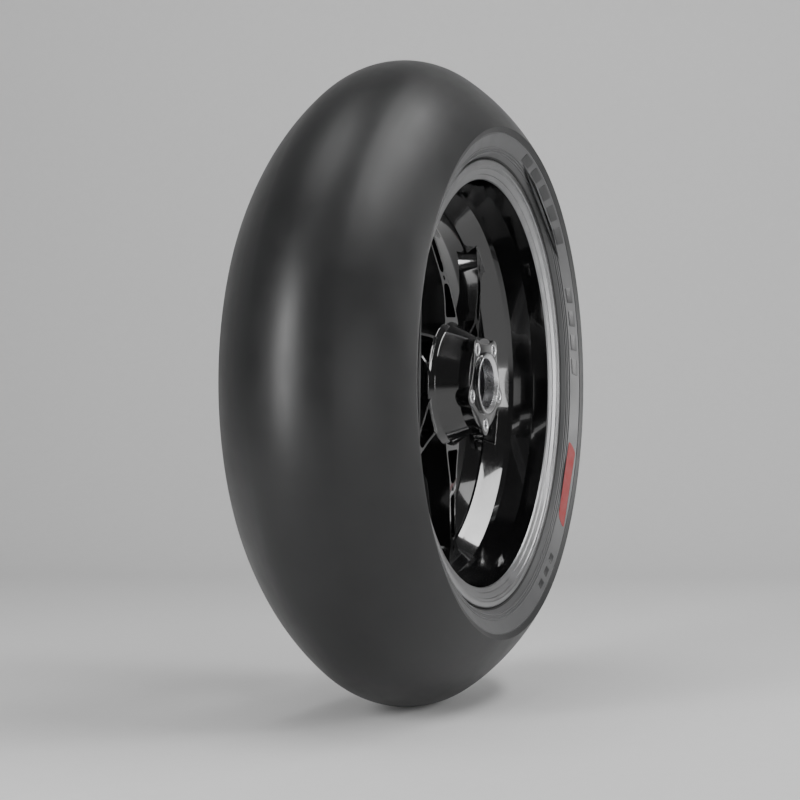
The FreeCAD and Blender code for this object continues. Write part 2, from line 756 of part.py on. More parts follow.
def make_hub():
    """The wheel's hub: bearing seats, brake flange and cush drum."""
    body = new_body("wheel_hub")
    turned(body, "HubDisc", ring_path("-spoke_front_root", "spoke_back_root", "tube_radius", "hub_edge"))
    add_barrel(body)
    add_drum(body)
    add_holes(body)
    return body


def add_pockets(body):
    """Pockets in a spoke's faces, either side of its bridge, leaving ribs, a web and the bridge."""
    inner_end = "bridge_radius - bridge_width / 2"
    outer_start = "bridge_radius + bridge_width / 2"
    start = "hub_radius + 13"
    end = "well_radius - foot_height - 2"
    tip_half = "(spoke_tip_half - spoke_rib)"
    middle_half = "(spoke_neck_half - spoke_rib - 1.5)"
    start_half = "(spoke_neck_half - spoke_rib + 1)"

    def pocket_path(low, low_half, high, high_half):
        return [
            spoke_edge(low, f"-1 * {low_half}"),
            spoke_edge(high, f"-1 * {high_half}"),
            ("arc", spoke_edge(f"({high}) + {high_half} * 0.9", "0")),
            spoke_edge(high, high_half),
            spoke_edge(low, low_half),
            ("arc", spoke_edge(f"({low}) - {low_half} * 0.9", "0")),
        ]
    inner = pocket_path(f"{start} + 5", start_half, f"{inner_end} - 6", middle_half)
    outer = pocket_path(f"{outer_start} + 6", f"({middle_half} - 0.6)", f"{end} - 3", tip_half)
    front_web = {"Inner": "spoke_front_root - 17", "Outer": "spoke_front_tip - 7"}
    back_web = {"Inner": "spoke_front_root - 17 - spoke_web", "Outer": "spoke_front_tip - 7 - spoke_web"}
    cuts = []
    for name, path in (("Inner", inner), ("Outer", outer)):
        front = outline(new_sketch(body, "XZ_Plane", f"{name}FrontPocket", front_web[name]), path)
        cuts.append(pocketed(body, f"{name}Front", front, "disc_face", backwards=True))
        back = outline(new_sketch(body, "XZ_Plane", f"{name}BackPocket", back_web[name]), path)
        cuts.append(pocketed(body, f"{name}Back", back, "disc_face"))
    patterned(body, "Pockets", cuts, "spoke_count")
    dimple = circle(
        new_sketch(body, "XZ_Plane", "FootDimpleCircle", "disc_face"),
        spoke_edge("well_radius - 5", "0"), "3.2")
    pit = pocketed(body, "FootDimple", dimple, "disc_face - spoke_front_tip + 8")
    patterned(body, "FootDimples", [pit], "spoke_count")


def add_barrel(body):
    """The hub's barrel, the brake flange with its lobes, and the boss that centres the disc."""
    back = "disc_face - disc_flange"
    turned(body, "HubBarrel", [
        ("spoke_back_root", "tube_radius"),
        ("-boss_face", "tube_radius"),
        ("-boss_face", "boss_radius - 1"),
        ("-(boss_face - 1)", "boss_radius"),
        ("-disc_face", "boss_radius"),
        (f"-({back})", "hub_neck"),
        ("-(spoke_front_root + 9)", "hub_radius - 6"),
        ("arc", ("-(spoke_front_root + 3)", "hub_radius - 3.2")),
        ("-(spoke_front_root - 1)", "hub_edge - 1"),
        ("spoke_back_root", "hub_edge - 1"),
    ])
    lobes = []
    for number in range(int(size("disc_bolts"))):
        middle = f"disc_bolt_angle + {number} * disc_pitch"
        lobes += [
            around("disc_lobe_radius - 6", f"{middle} - 11.5"),
            ("arc", around("disc_lobe_radius", middle)),
            around("disc_lobe_radius - 6", f"{middle} + 11.5"),
            ("arc", around("disc_scallop_radius", f"{middle} + disc_pitch / 2")),
        ]
    flange = outline(new_sketch(body, "XZ_Plane", "BrakeFlangeOutline", back), lobes)
    padded(body, "BrakeFlange", flange, "disc_flange")


def add_drum(body):
    """The cush drum on the sprocket side, with its ribs and the boss for the left bearing."""
    turned(body, "CushDrum", [
        ("drum_back", "tube_radius"),
        ("left_bearing_face + circlip_thickness", "tube_radius"),
        ("left_bearing_face + circlip_thickness", "boss_radius"),
        ("drum_floor", "boss_radius"),
        ("drum_floor", "drum_inside"),
        ("drum_rim", "drum_inside"),
        ("drum_rim", "drum_radius"),
        ("drum_back", "drum_radius"),
    ])
    half = "rib_half_angle"
    low, high = "boss_radius - 1", "drum_inside + 1"
    rib = outline(new_sketch(body, "XZ_Plane", "DrumRibOutline", "-(drum_rim - 2)"), [
        around(low, f"-{half}"),
        around(high, f"-{half}"),
        around(high, half),
        around(low, half),
    ])
    first = padded(body, "DrumRib", rib, "drum_rim - drum_floor - 1")
    patterned(body, "DrumRibs", [first], "drum_ribs")


def add_holes(body):
    """The bore, bearing seats, circlip groove and disc bolt holes."""
    grooved(body, "Bore", ring_path("-(boss_face + 1)", "drum_rim", "0", "tube_radius"))
    seat = "bearing_radius + seat_gap"
    grooved(body, "RightSeat", ring_path(
        "-(boss_face + 1)", "-(right_bearing_face - bearing_width)", "10", seat))
    grooved(body, "LeftSeat", ring_path(
        "left_bearing_face - bearing_width", "drum_rim + 10", "10", seat))
    grooved(body, "CirclipGroove", ring_path(
        "-(right_bearing_face + gap + circlip_thickness)", "-(right_bearing_face + gap)",
        "10", "bearing_radius + circlip_depth"))
    grooved(body, "SeatChamfer", [
        ("-(boss_face + 1)", "bearing_radius + 2.5"),
        ("-(boss_face + 1)", "10"),
        ("-(boss_face - 1.5)", "10"),
        ("-(boss_face - 1.5)", "bearing_radius"),
    ])
    bolt = circle(
        new_sketch(body, "XZ_Plane", "DiscBoltCircle", "disc_face + 1"),
        around("disc_bolt_circle", "disc_bolt_angle"), "disc_bolt_hole")
    hole = pocketed(body, "DiscBoltHole", bolt, "disc_flange + 6")
    patterned(body, "DiscBoltHoles", [hole], "disc_bolts")


def add_valve_hole(body):
    """The valve's hole through the drop centre."""
    valve_face = body.newObject("PartDesign::Plane", "ValveFace")
    valve_face.AttachmentSupport = [(origin_feature(body, "XY_Plane"), "")]
    valve_face.MapMode = "FlatFace"
    valve_face.setExpression("AttachmentOffset.Rotation.Angle", bound("90 - valve_angle"))
    valve_face.AttachmentOffset = Placement(Vector(), Rotation(Vector(0, 1, 0), size("90 - valve_angle")))
    sketch = body.newObject("Sketcher::SketchObject", "ValveHoleCircle")
    sketch.AttachmentSupport = [(valve_face, "")]
    sketch.MapMode = "FlatFace"
    circle(sketch, ("0", "0"), "valve_hole")
    before = solid_volume(body)
    hole = body.newObject("PartDesign::Pocket", "ValveHole")
    hole.Profile = sketch
    hole.Reversed = True
    hole.setExpression("Length", bound("tyre_radius"))
    must_shrink(body, before, "ValveHole")


make_rim()
make_spokes()
make_hub()


# ---------------------------------------------------------------- bearings

def simple_ring(label, path):
    """A sub-part that is one ring about the axle."""
    body = new_body(label)
    turned(body, "Ring", path)
    return body


def inner_race_ring(label, low):
    """A bearing's inner ring, with the balls' groove round its outside."""
    middle = f"{low} + bearing_width / 2"
    half = "sqrt(race_radius ^ 2 - (pitch_radius - inner_land) ^ 2)"
    return simple_ring(label, [
        (low, "axle_radius"),
        (f"{low} + bearing_width", "axle_radius"),
        (f"{low} + bearing_width", "inner_land"),
        (f"{middle} + {half}", "inner_land"),
        ("arc", (middle, "pitch_radius - race_radius")),
        (f"{middle} - {half}", "inner_land"),
        (low, "inner_land"),
    ])


def outer_race_ring(label, low):
    """A bearing's outer ring, with the balls' groove round its inside."""
    middle = f"{low} + bearing_width / 2"
    half = "sqrt(race_radius ^ 2 - (outer_land - pitch_radius) ^ 2)"
    return simple_ring(label, [
        (low, "outer_land"),
        (f"{middle} - {half}", "outer_land"),
        ("arc", (middle, "pitch_radius + race_radius")),
        (f"{middle} + {half}", "outer_land"),
        (f"{low} + bearing_width", "outer_land"),
        (f"{low} + bearing_width", "bearing_radius"),
        (low, "bearing_radius"),
    ])


def ball_ring(label, radius, low, count):
    """Balls evenly round the bearing's pitch circle, as separate solids of one node."""
    middle = size(f"{low} + bearing_width / 2")
    balls = []
    for number in range(int(count)):
        angle = 90 + 360 * number / count
        spot_x, spot_z = (size(part) for part in around("pitch_radius", angle))
        balls.append(Part.makeSphere(radius, Vector(spot_x, middle, spot_z)))
    return laminate(label, Part.makeCompound(balls))


def make_cage(label, low):
    """The cage: a ring with a round pocket for each ball."""
    body = new_body(label)
    middle = f"{low} + bearing_width / 2"
    turned(body, "CageRing", ring_path(
        f"{middle} - ball_radius - 1.2", f"{middle} + ball_radius + 1.2",
        "pitch_radius - 0.8", "pitch_radius + 0.8"))
    pocket_circle = circle(new_sketch(body, "XY_Plane", "PocketCircle"), ("0", middle), "ball_radius + gap / 2")
    pocket = pocketed(body, "BallPocket", pocket_circle, "bearing_radius", backwards=True)
    patterned(body, "BallPockets", [pocket], "ball_count")
    return body


def plain_ring(low, high, inner, outer):
    """A loose ring about the axle, from numbers."""
    axle = Vector(0, 1, 0)
    ring = Part.makeCylinder(outer, high - low, Vector(0, low, 0), axle)
    return ring.cut(Part.makeCylinder(inner, high - low, Vector(0, low, 0), axle))


def make_seals(label, low):
    """Both of a bearing's seals, pressed in the outer ring and just clear of the inner one."""
    inner, outer = size("inner_land + gap / 2"), size("outer_land")
    thickness = size("seal_thickness")
    first = size(f"{low} + seal_inset")
    second = size(f"{low} + bearing_width - seal_inset") - thickness
    seals = [plain_ring(start, start + thickness, inner, outer) for start in (first, second)]
    return laminate(label, Part.makeCompound(seals))


def make_bearing(side, low):
    """A deep-groove ball bearing as it comes apart: rings, balls, cage and seals."""
    inner_race_ring(f"{side}_bearing_inner_ring", low)
    outer_race_ring(f"{side}_bearing_outer_ring", low)
    ball_ring(f"{side}_bearing_balls", size("ball_radius"), low, size("ball_count"))
    make_cage(f"{side}_bearing_cage", low)
    make_seals(f"{side}_bearing_seals", low)


BEARINGS = {
    "right": "-right_bearing_face",
    "left": "left_bearing_face - bearing_width",
    "carrier": "carrier_bearing_face - bearing_width",
}
for bearing_side, bearing_start in BEARINGS.items():
    make_bearing(bearing_side, bearing_start)


def make_axle_tubes():
    """The tube between the wheel's inner rings, and the collar out to the carrier's."""
    simple_ring("axle_spacer_tube", ring_path(
        "-(right_bearing_face - bearing_width)", "left_bearing_face - bearing_width",
        "axle_radius", "axle_radius + spacer_wall"))
    simple_ring("carrier_collar", ring_path(
        "left_bearing_face", "carrier_bearing_face - bearing_width",
        "axle_radius", "axle_radius + spacer_wall"))


def make_circlip():
    """The circlip that holds the right bearing in, open at the bottom, with two eyes."""
    body = simple_ring("bearing_circlip", ring_path(
        "-(right_bearing_face + gap + circlip_thickness - skin)", "-(right_bearing_face + gap + skin)",
        "bearing_radius - 2.2", "bearing_radius + circlip_depth - gap"))
    opening = outline(new_sketch(body, "XZ_Plane", "OpeningOutline", "disc_face"), [
        ("-3", "-(bearing_radius + 8)"), ("3", "-(bearing_radius + 8)"), ("3", "0"), ("-3", "0")])
    pocketed(body, "Opening", opening, "disc_face")
    return body


make_axle_tubes()
make_circlip()


# ---------------------------------------------------------------- cush drive

def make_carrier():
    """The sprocket carrier: bearing boss, plate, sprocket spigot, vanes and stud holes."""
    body = new_body("sprocket_carrier")
    plate_back = "carrier_face - carrier_plate"
    turned(body, "Plate", [
        (plate_back, "boss_radius + 2"),
        ("carrier_bearing_face - bearing_width - 2.5", "boss_radius + 2"),
        ("carrier_bearing_face - bearing_width - 2.5", "tube_radius"),
        ("carrier_bearing_face + 2.5", "tube_radius"),
        ("carrier_bearing_face + 2.5", "boss_radius"),
        ("carrier_face", "boss_radius"),
        ("carrier_face", "carrier_radius"),
        (plate_back, "carrier_radius"),
    ])
    half = "vane_half_angle"
    middle = "drum_pitch / 2"
    low, high = "boss_radius + 1.5", "drum_inside - 1.5"
    vane = outline(new_sketch(body, "XZ_Plane", "VaneOutline", f"-({plate_back} + 1)"), [
        around(low, f"{middle} - {half}"),
        ("arc", around(low, middle)),
        around(low, f"{middle} + {half}"),
        around(high, f"{middle} + {half}"),
        ("arc", around(high, middle)),
        around(high, f"{middle} - {half}"),
    ])
    first = padded(body, "Vane", vane, f"{plate_back} - drum_floor - 1")
    patterned(body, "Vanes", [first], "drum_ribs")
    grooved(body, "BearingSeat", ring_path(
        "carrier_bearing_face - bearing_width", "carrier_bearing_face + 10", "10", "bearing_radius + seat_gap"))
    bolt = circle(
        new_sketch(body, "XZ_Plane", "StudCircle", "-(carrier_face + 1)"),
        around("stud_circle", "0"), "stud_shank + seat_gap")
    hole = pocketed(body, "StudHole", bolt, "carrier_plate + 1", backwards=True)
    patterned(body, "StudHoles", [hole], "drum_ribs")
    return body


def make_studs():
    """The sprocket's studs, as separate solids of one node: shank, undercut and thread."""
    steps = [
        ("carrier_face - carrier_plate + 1", "carrier_face - 1.5", "stud_shank"),
        ("carrier_face - 1.5", "carrier_face + 1", "stud_radius - 0.4"),
        ("carrier_face + 1", "carrier_face + stud_reach", "stud_radius"),
    ]
    studs = []
    for number in range(int(size("drum_ribs"))):
        spot_x, spot_z = (size(part) for part in around("stud_circle", f"{number} * drum_pitch"))
        shank, *others = [
            Part.makeCylinder(
                size(radius), size(end) - size(start), Vector(spot_x, size(start), spot_z), Vector(0, 1, 0))
            for start, end, radius in steps
        ]
        studs.append(shank.fuse(others))
    return laminate("sprocket_studs", Part.makeCompound(studs))


def make_cush_rubbers():
    """The rubber blocks between the drum's ribs and the carrier's vanes."""
    low, high = size("boss_radius + gap"), size("drum_inside - gap")
    floor, top = size("drum_floor + gap"), size("drum_rim - 2")
    blocks = []
    start = size("rib_half_angle") + 0.2
    end = size("drum_pitch / 2 - vane_half_angle - cush_travel") - 0.3
    for number in range(int(size("drum_ribs"))):
        for sign in (1, -1):
            block = Part.makeCylinder(high, top - floor, Vector(), Vector(0, 0, 1), end - start)
            block = block.cut(Part.makeCylinder(low, top - floor))
            block.rotate(Vector(), Vector(0, 0, 1), start)
            if sign < 0:
                block = block.mirror(Vector(), Vector(0, 1, 0))
            block.rotate(Vector(), Vector(0, 0, 1), number * size("drum_pitch"))
            block.rotate(Vector(), Vector(1, 0, 0), 90)
            block.translate(Vector(0, top, 0))
            blocks.append(block)
    return laminate("cush_rubbers", Part.makeCompound(blocks))


make_carrier()
make_studs()
make_cush_rubbers()


# ---------------------------------------------------------------- valve and balance weights

def valve_body(label):
    """A body in the valve's own frame: its elbow's centre, +Z outwards and -Y along the arm."""
    body = new_body(label)
    body.Placement = Placement(Vector(), Rotation(Vector(0, 1, 0), 45))
    body.setExpression("Placement.Rotation.Angle", bound("90 - valve_angle"))
    body.setExpression("Placement.Base.x", bound("(well_radius - valve_reach) * cos(valve_angle)"))
    body.setExpression("Placement.Base.z", bound("(well_radius - valve_reach) * sin(valve_angle)"))
    return body


def standing(body, name, path):
    """Add a ring about the valve's shank; its corners are (radius, height)."""
    sketch = outline(new_sketch(body, "YZ_Plane", name + "Section"), path)
    feature = body.newObject("PartDesign::Revolution", name)
    feature.Profile = sketch
    feature.ReferenceAxis = (sketch, ["V_Axis"])
    feature.Angle = 360
    return feature


def make_valve_stem():
    """The angled valve: head, shank, elbow and arm, with the core's bore."""
    body = valve_body("valve_stem")
    outside = "valve_reach + well_wall"
    standing(body, "Shank", [
        ("0", "-1 * (valve_thread + 2)"),
        ("valve_thread + 2", "-1 * (valve_thread + 2)"),
        ("valve_thread + 2", "valve_thread + 2"),
        ("valve_thread", "valve_thread + 3.5"),
        ("valve_thread", f"{outside} + 2.4"),
        ("valve_thread + 4", f"{outside} + 2.4"),
        ("valve_thread + 3", f"{outside} + 5"),
        ("0", f"{outside} + 5"),
    ])
    turned(body, "Arm", [
        ("0", "0"),
        ("0", "valve_thread"),
        ("-1 * valve_arm", "valve_thread"),
        ("-1 * valve_arm", "0"),
    ])
    grooved(body, "CoreBore", [
        ("-1 * (valve_arm + 1)", "0"),
        ("-1 * (valve_arm + 1)", "core_radius + seat_gap"),
        ("-1 * valve_arm * 0.3", "core_radius + seat_gap"),
        ("-1 * valve_arm * 0.2", "0"),
    ])
    return body


def make_valve_seal():
    """The rubber washer between the valve's head and the drop centre."""
    body = valve_body("valve_seal")
    outside = "valve_reach + well_wall"
    standing(body, "Washer", [
        ("valve_thread + skin", f"{outside} + gap"),
        ("valve_thread + 4", f"{outside} + gap"),
        ("valve_thread + 4", f"{outside} + 2.4 - skin"),
        ("valve_thread + skin", f"{outside} + 2.4 - skin"),
    ])
    return body


def make_valve_nut():
    """The nut that clamps the valve to the drop centre."""
    body = valve_body("valve_nut")
    sketch = new_sketch(body, "XY_Plane", "NutOutline", "valve_reach - gap - 5")
    across_corners = "(valve_thread + 3)"
    outline(sketch, [
        (f"{across_corners} * cos({60 * corner})", f"{across_corners} * sin({60 * corner})")
        for corner in range(6)
    ])
    circle(sketch, ("0", "0"), "valve_thread + skin")
    padded(body, "Nut", sketch, "5")
    return body


def make_valve_core():
    """The core screwed in the arm, bored for its pin."""
    body = valve_body("valve_core")
    turned(body, "CoreTube", ring_path(
        "-1 * (valve_arm - 3)", "-1 * valve_arm * 0.5", "pin_radius + skin", "core_radius"))
    return body


def make_valve_pin():
    """The core's spring-loaded pin."""
    body = valve_body("valve_pin")
    turned(body, "Pin", [
        ("-1 * (valve_arm - 0.8)", "0"),
        ("-1 * (valve_arm - 0.8)", "pin_radius"),
        ("-1 * valve_arm * 0.5", "pin_radius"),
        ("-1 * (valve_arm * 0.5 - gap)", "core_radius - gap"),
        ("-1 * (valve_arm * 0.5 - 2)", "core_radius - gap"),
        ("-1 * (valve_arm * 0.5 - 2)", "0"),
    ])
    return body


def make_valve_cap():
    """The screw cap on the arm's end."""
    body = valve_body("valve_cap")
    turned(body, "Cap", [
        ("-1 * (valve_arm - 8)", "valve_thread + gap / 2"),
        ("-1 * (valve_arm - 8)", "valve_thread + 1.6"),
        ("-1 * (valve_arm + 1.5)", "valve_thread + 1.6"),
        ("-1 * (valve_arm + 2.5)", "valve_thread + 0.6"),
        ("-1 * (valve_arm + 2.5)", "0"),
        ("-1 * (valve_arm + gap)", "0"),
        ("-1 * (valve_arm + gap)", "valve_thread + gap / 2"),
    ])
    return body


def make_balance_weights():
    """The row of stick-on weights inside the barrel, opposite the valve."""
    near = size("crest_place + 8")
    far = near + size("weight_width")
    slope = size("(seat_inside - crest_radius - 0.4) / (lip_plane - lip_dish - crest_place - 3)")
    start = size("crest_radius + 0.4 - skin")
    tops = [start + slope * (place_along - size("crest_place + 3")) for place_along in (near, far)]
    height = size("weight_height")
    corners = [
        section_point(near, tops[0]),
        section_point(far, tops[1]),
        section_point(far, tops[1] - height),
        section_point(near, tops[0] - height),
    ]
    face = Part.Face(Part.makePolygon(corners + corners[:1]))
    weights = []
    span = size("weight_span")
    count = int(size("weight_count"))
    for number in range(count):
        above = size("weight_angle") + (number - (count - 1) / 2) * (span + 0.4) - span / 2
        weight = face.revolve(Vector(), Vector(0, 1, 0), -span)
        weight.rotate(Vector(), Vector(0, 1, 0), 90 - above)
        weights.append(weight)
    return laminate("balance_weights", Part.makeCompound(weights))


make_valve_stem()
make_valve_seal()
make_valve_nut()
make_valve_core()
make_valve_pin()
make_valve_cap()
make_balance_weights()


# ---------------------------------------------------------------- checks and files

def sub_parts():
    """Every sub-part of the document."""
    return [thing for thing in doc.Objects if thing.TypeId in ("PartDesign::Body", "Part::Feature")]


def check_document():
    """Stop if a feature failed or a sub-part has no sound solid."""
    for thing in doc.Objects:
        if {"Invalid", "Error"} & set(thing.State):
            raise RuntimeError(f"{thing.Label} failed: {thing.State}")
    for piece in sub_parts():
        if piece.Shape.isNull() or not piece.Shape.isValid() or not piece.Shape.Solids:
            raise RuntimeError(f"{piece.Label} has no sound solid")
        wanted = int(size("spoke_count")) if piece.Label == "wheel_spokes" else 1
        if piece.TypeId == "PartDesign::Body" and len(piece.Shape.Solids) != wanted:
            raise RuntimeError(f"{piece.Label} is in {len(piece.Shape.Solids)} pieces")


def write_files():
    """Write each sub-part to the file that its Label names."""
    os.makedirs("parts", exist_ok=True)
    for piece in sub_parts():
        piece.Shape.exportStep(f"parts/{piece.Label}.step")


doc.recompute()
check_document()
write_files()
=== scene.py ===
import math

import bmesh
import bpy
from mathutils import Matrix, Vector


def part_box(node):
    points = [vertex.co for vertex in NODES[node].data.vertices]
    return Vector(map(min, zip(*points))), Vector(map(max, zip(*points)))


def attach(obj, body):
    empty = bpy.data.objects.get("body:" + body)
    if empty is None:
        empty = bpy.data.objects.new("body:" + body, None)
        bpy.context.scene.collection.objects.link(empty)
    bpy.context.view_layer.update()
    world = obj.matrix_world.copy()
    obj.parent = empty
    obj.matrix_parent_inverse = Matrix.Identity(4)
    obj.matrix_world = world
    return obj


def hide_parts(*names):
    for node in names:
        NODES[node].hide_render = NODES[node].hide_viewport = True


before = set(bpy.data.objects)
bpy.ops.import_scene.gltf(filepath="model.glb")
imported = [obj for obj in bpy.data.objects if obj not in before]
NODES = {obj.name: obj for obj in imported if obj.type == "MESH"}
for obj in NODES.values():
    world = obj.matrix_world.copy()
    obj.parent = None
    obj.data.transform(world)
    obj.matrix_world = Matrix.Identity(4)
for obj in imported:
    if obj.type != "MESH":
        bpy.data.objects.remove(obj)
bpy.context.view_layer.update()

# Metres. +Y is the axle, +Z is up, and the brake side faces -Y.
MM = 0.001

# Sizes taken from the frame.
TYRE_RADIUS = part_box("tread_cap")[1].z
TYRE_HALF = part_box("tread_cap")[1].y
LIP_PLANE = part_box("wheel_rim")[1].y
FLANGE_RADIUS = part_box("wheel_rim")[1].z
DRUM_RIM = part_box("cush_rubbers")[1].y + 2 * MM
BEARING_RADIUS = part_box("right_bearing_outer_ring")[1].z
BEARING_FACE = -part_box("right_bearing_outer_ring")[0].y

# Tyre sizes, the same as the frame's section.
SHOULDER_DROP = 73 * MM
CROWN_CURVE = 80 * MM
CROWN_TURN = math.radians(35)
TREAD_THICKNESS = 8 * MM
EDGE_THICKNESS = 6 * MM
SIDEWALL_THICKNESS = 3.6 * MM

# Wheel sizes, the same as the frame's forging.
SEAT_RADIUS = FLANGE_RADIUS - 14 * MM
RIM_HALF = LIP_PLANE - 5 * MM
SEAT_INSIDE = SEAT_RADIUS - 7.3 * MM
CREST_RADIUS = SEAT_INSIDE - 6.3 * MM
CREST_PLACE = 34 * MM
STEP_FOOT = 16 * MM
WELL_RADIUS = 189 * MM
WELL_HALF = 10 * MM
SPOKES = 6
SPOKE_ANGLE = math.radians(35.5)
SPOKE_SWEEP = math.radians(0.115) / MM
DISC_FACE = 75.7 * MM
DISC_FLANGE = 14 * MM
DISC_BOLTS = 5
DISC_BOLT_ANGLE = math.radians(54)
DISC_BOLT_CIRCLE = 43 * MM
BOSS_RADIUS = 33 * MM
BOSS_FACE = 79 * MM
STEP_RISE = 4 * MM
CREST_RUN = 16 * MM
CREST_RISE = 10 * MM
SPOKE_SWEEP_FROM = 100 * MM

# Facets round a full turn.
ROUND = 720

# The studio: how far the paper reaches, where it curves up and where the camera stands.
CAMERA_WAY = Vector((-0.929, -0.370, 0)).normalized()
CAMERA_SIDE = Vector((0.370, -0.929, 0)).normalized()
CAMERA_DISTANCE = 2.2
CAMERA_SHIFT = (0.019, 0.017)
CAMERA_LENS = 94
PAPER_REACH = 14
PAPER_TURN = 1.6
PAPER_CURVE = 1.2
PAPER_HEIGHT = 5


# ---------------------------------------------------------------- materials

class Value:
    """A socket's value inside a finish; sums of values add the nodes for them."""

    def __init__(self, finish, socket):
        self.finish = finish
        self.socket = socket

    def __add__(self, other):
        return self.finish.sum("ADD", self, other)

    def __sub__(self, other):
        return self.finish.sum("SUBTRACT", self, other)

    def __rsub__(self, other):
        return self.finish.sum("SUBTRACT", other, self)

    def __mul__(self, other):
        return self.finish.sum("MULTIPLY", self, other)

    def __truediv__(self, other):
        return self.finish.sum("DIVIDE", self, other)

    def __pow__(self, other):
        return self.finish.sum("POWER", self, other)

    __radd__ = __add__
    __rmul__ = __mul__


class Finish:
    """One procedural material on a principled shader."""

    def __init__(self, name, **uniform):
        self.material = bpy.data.materials.new(name)
        self.material.use_nodes = True
        self.tree = self.material.node_tree
        self.shader = self.tree.nodes["Principled BSDF"]
        self.set(**uniform)
        self.place = self.node("ShaderNodeTexCoord", output="Object")

    def set(self, **inputs):
        """Feed the shader's sockets; a name's underscores stand for spaces."""
        for name, value in inputs.items():
            self.feed(self.shader.inputs[name.replace("_", " ").title().replace("Ior", "IOR")], value)

    def feed(self, socket, value):
        if isinstance(value, Value):
            self.tree.links.new(value.socket, socket)
        elif isinstance(value, tuple) and len(value) == 3 and socket.type == "RGBA":
            socket.default_value = (*value, 1)
        else:
            socket.default_value = value

    def node(self, kind, settings=None, inputs=None, output=0):
        """Add a node: its settings first, then its sockets' values or links."""
        made = self.tree.nodes.new(kind)
        for name, value in (settings or {}).items():
            setattr(made, name, value)
        for name, value in (inputs or {}).items():
            self.feed(made.inputs[name], value)
        return Value(self, made.outputs[output])

    def sum(self, operation, *values):
        return self.node("ShaderNodeMath", {"operation": operation}, dict(enumerate(values)))

    def noise(self, scale, detail=4, roughness=0.55, place=None):
        inputs = {"Vector": place or self.place, "Scale": scale, "Detail": detail, "Roughness": roughness}
        return self.node("ShaderNodeTexNoise", None, inputs)

    def stretched(self, scale):
        """The object's own coordinates, scaled along each axis."""
        return self.node("ShaderNodeMapping", None, {"Vector": self.place, "Scale": scale})

    def ramp(self, value, low, high, start=0.0, end=1.0):
        """A value's range mapped to another, held at its ends."""
        inputs = {"Value": value, "From Min": low, "From Max": high, "To Min": start, "To Max": end}
        return self.node("ShaderNodeMapRange", None, inputs)

    def blend(self, share, first, second):
        """A colour between two."""
        inputs = {0: share, 6: first, 7: second}
        return self.node("ShaderNodeMix", {"data_type": "RGBA"}, inputs, output=2)

    def bump(self, height, distance, strength=1.0, normal=None):
        inputs = {"Height": height, "Distance": distance, "Strength": strength}
        if normal:
            inputs["Normal"] = normal
        return self.node("ShaderNodeBump", None, inputs)

    def rounding(self, radius):
        """Normals that round every edge a little."""
        return self.node("ShaderNodeBevel", {"samples": 6}, {"Radius": radius})

def slick_compound():
    """The tread's soft compound: charcoal, satin, with a fine grain and faint rings left by the mould."""
    finish = Finish("slick_compound", specular_ior_level=0.42)
    mottle = finish.noise(28, 5)
    grain = finish.noise(900, 3)
    bands = finish.noise(1.0, 3, place=finish.stretched((6, 160, 6)))
    finish.set(
        base_color=finish.blend(mottle, (0.010, 0.0102, 0.0106), (0.018, 0.0182, 0.0186)),
        roughness=finish.ramp(mottle + bands * 0.35, 0.35, 0.95, 0.36, 0.45),
        normal=finish.bump(grain + bands * 0.5, 0.00009, 0.35),
    )
    return finish.material


def sidewall_rubber():
    """The flank: smoother rubber with very fine rings left by the mould."""
    finish = Finish("sidewall_rubber", specular_ior_level=0.5)
    mottle = finish.noise(40, 5)
    grain = finish.noise(700, 3)
    rings = finish.node("ShaderNodeTexWave", {"wave_type": "RINGS", "rings_direction": "Y"}, {
        "Vector": finish.place, "Scale": 160.0, "Distortion": 0.4, "Detail": 1.0})
    finish.set(
        base_color=finish.blend(mottle, (0.060, 0.0605, 0.062), (0.082, 0.0825, 0.084)),
        roughness=finish.ramp(mottle, 0.3, 0.7, 0.34, 0.44),
        normal=finish.bump(grain * 0.7 + rings * 0.3, 0.00008, 0.3),
    )
    return finish.material


def mark_rubber():
    """The raised marks' tops, a shade glossier and darker than the flank."""
    finish = Finish("mark_rubber", specular_ior_level=0.5)
    grain = finish.noise(600, 3)
    finish.set(
        base_color=finish.blend(grain, (0.016, 0.016, 0.017), (0.028, 0.028, 0.029)),
        roughness=finish.ramp(grain, 0.3, 0.7, 0.30, 0.38),
        normal=finish.bump(grain, 0.00006, 0.3),
    )
    return finish.material


def patch_paint():
    """The flank's red patch: matt ink that follows the rubber's grain."""
    finish = Finish("patch_paint", specular_ior_level=0.4)
    mottle = finish.noise(120, 4)
    grain = finish.noise(900, 2)
    finish.set(
        base_color=finish.blend(mottle, (0.20, 0.0006, 0.0014), (0.26, 0.001, 0.002)),
        roughness=finish.ramp(mottle, 0.3, 0.7, 0.42, 0.55),
        normal=finish.bump(grain, 0.00008, 0.4),
    )
    return finish.material


def gloss_black():
    """Black paint under clear lacquer, with a trace of orange peel and dust."""
    finish = Finish("gloss_black", coat_weight=1.0, coat_roughness=0.02, specular_ior_level=0.5)
    peel = finish.noise(260, 2)
    dust = finish.noise(35, 6, 0.65)
    finish.set(
        base_color=finish.blend(
            finish.ramp(dust, 0.62, 0.8), (0.0035, 0.0035, 0.0038), (0.012, 0.012, 0.012)),
        roughness=finish.ramp(dust, 0.35, 0.75, 0.07, 0.16),
        normal=finish.bump(peel, 0.00012, 0.10, finish.rounding(0.9 * MM)),
    )
    return finish.material


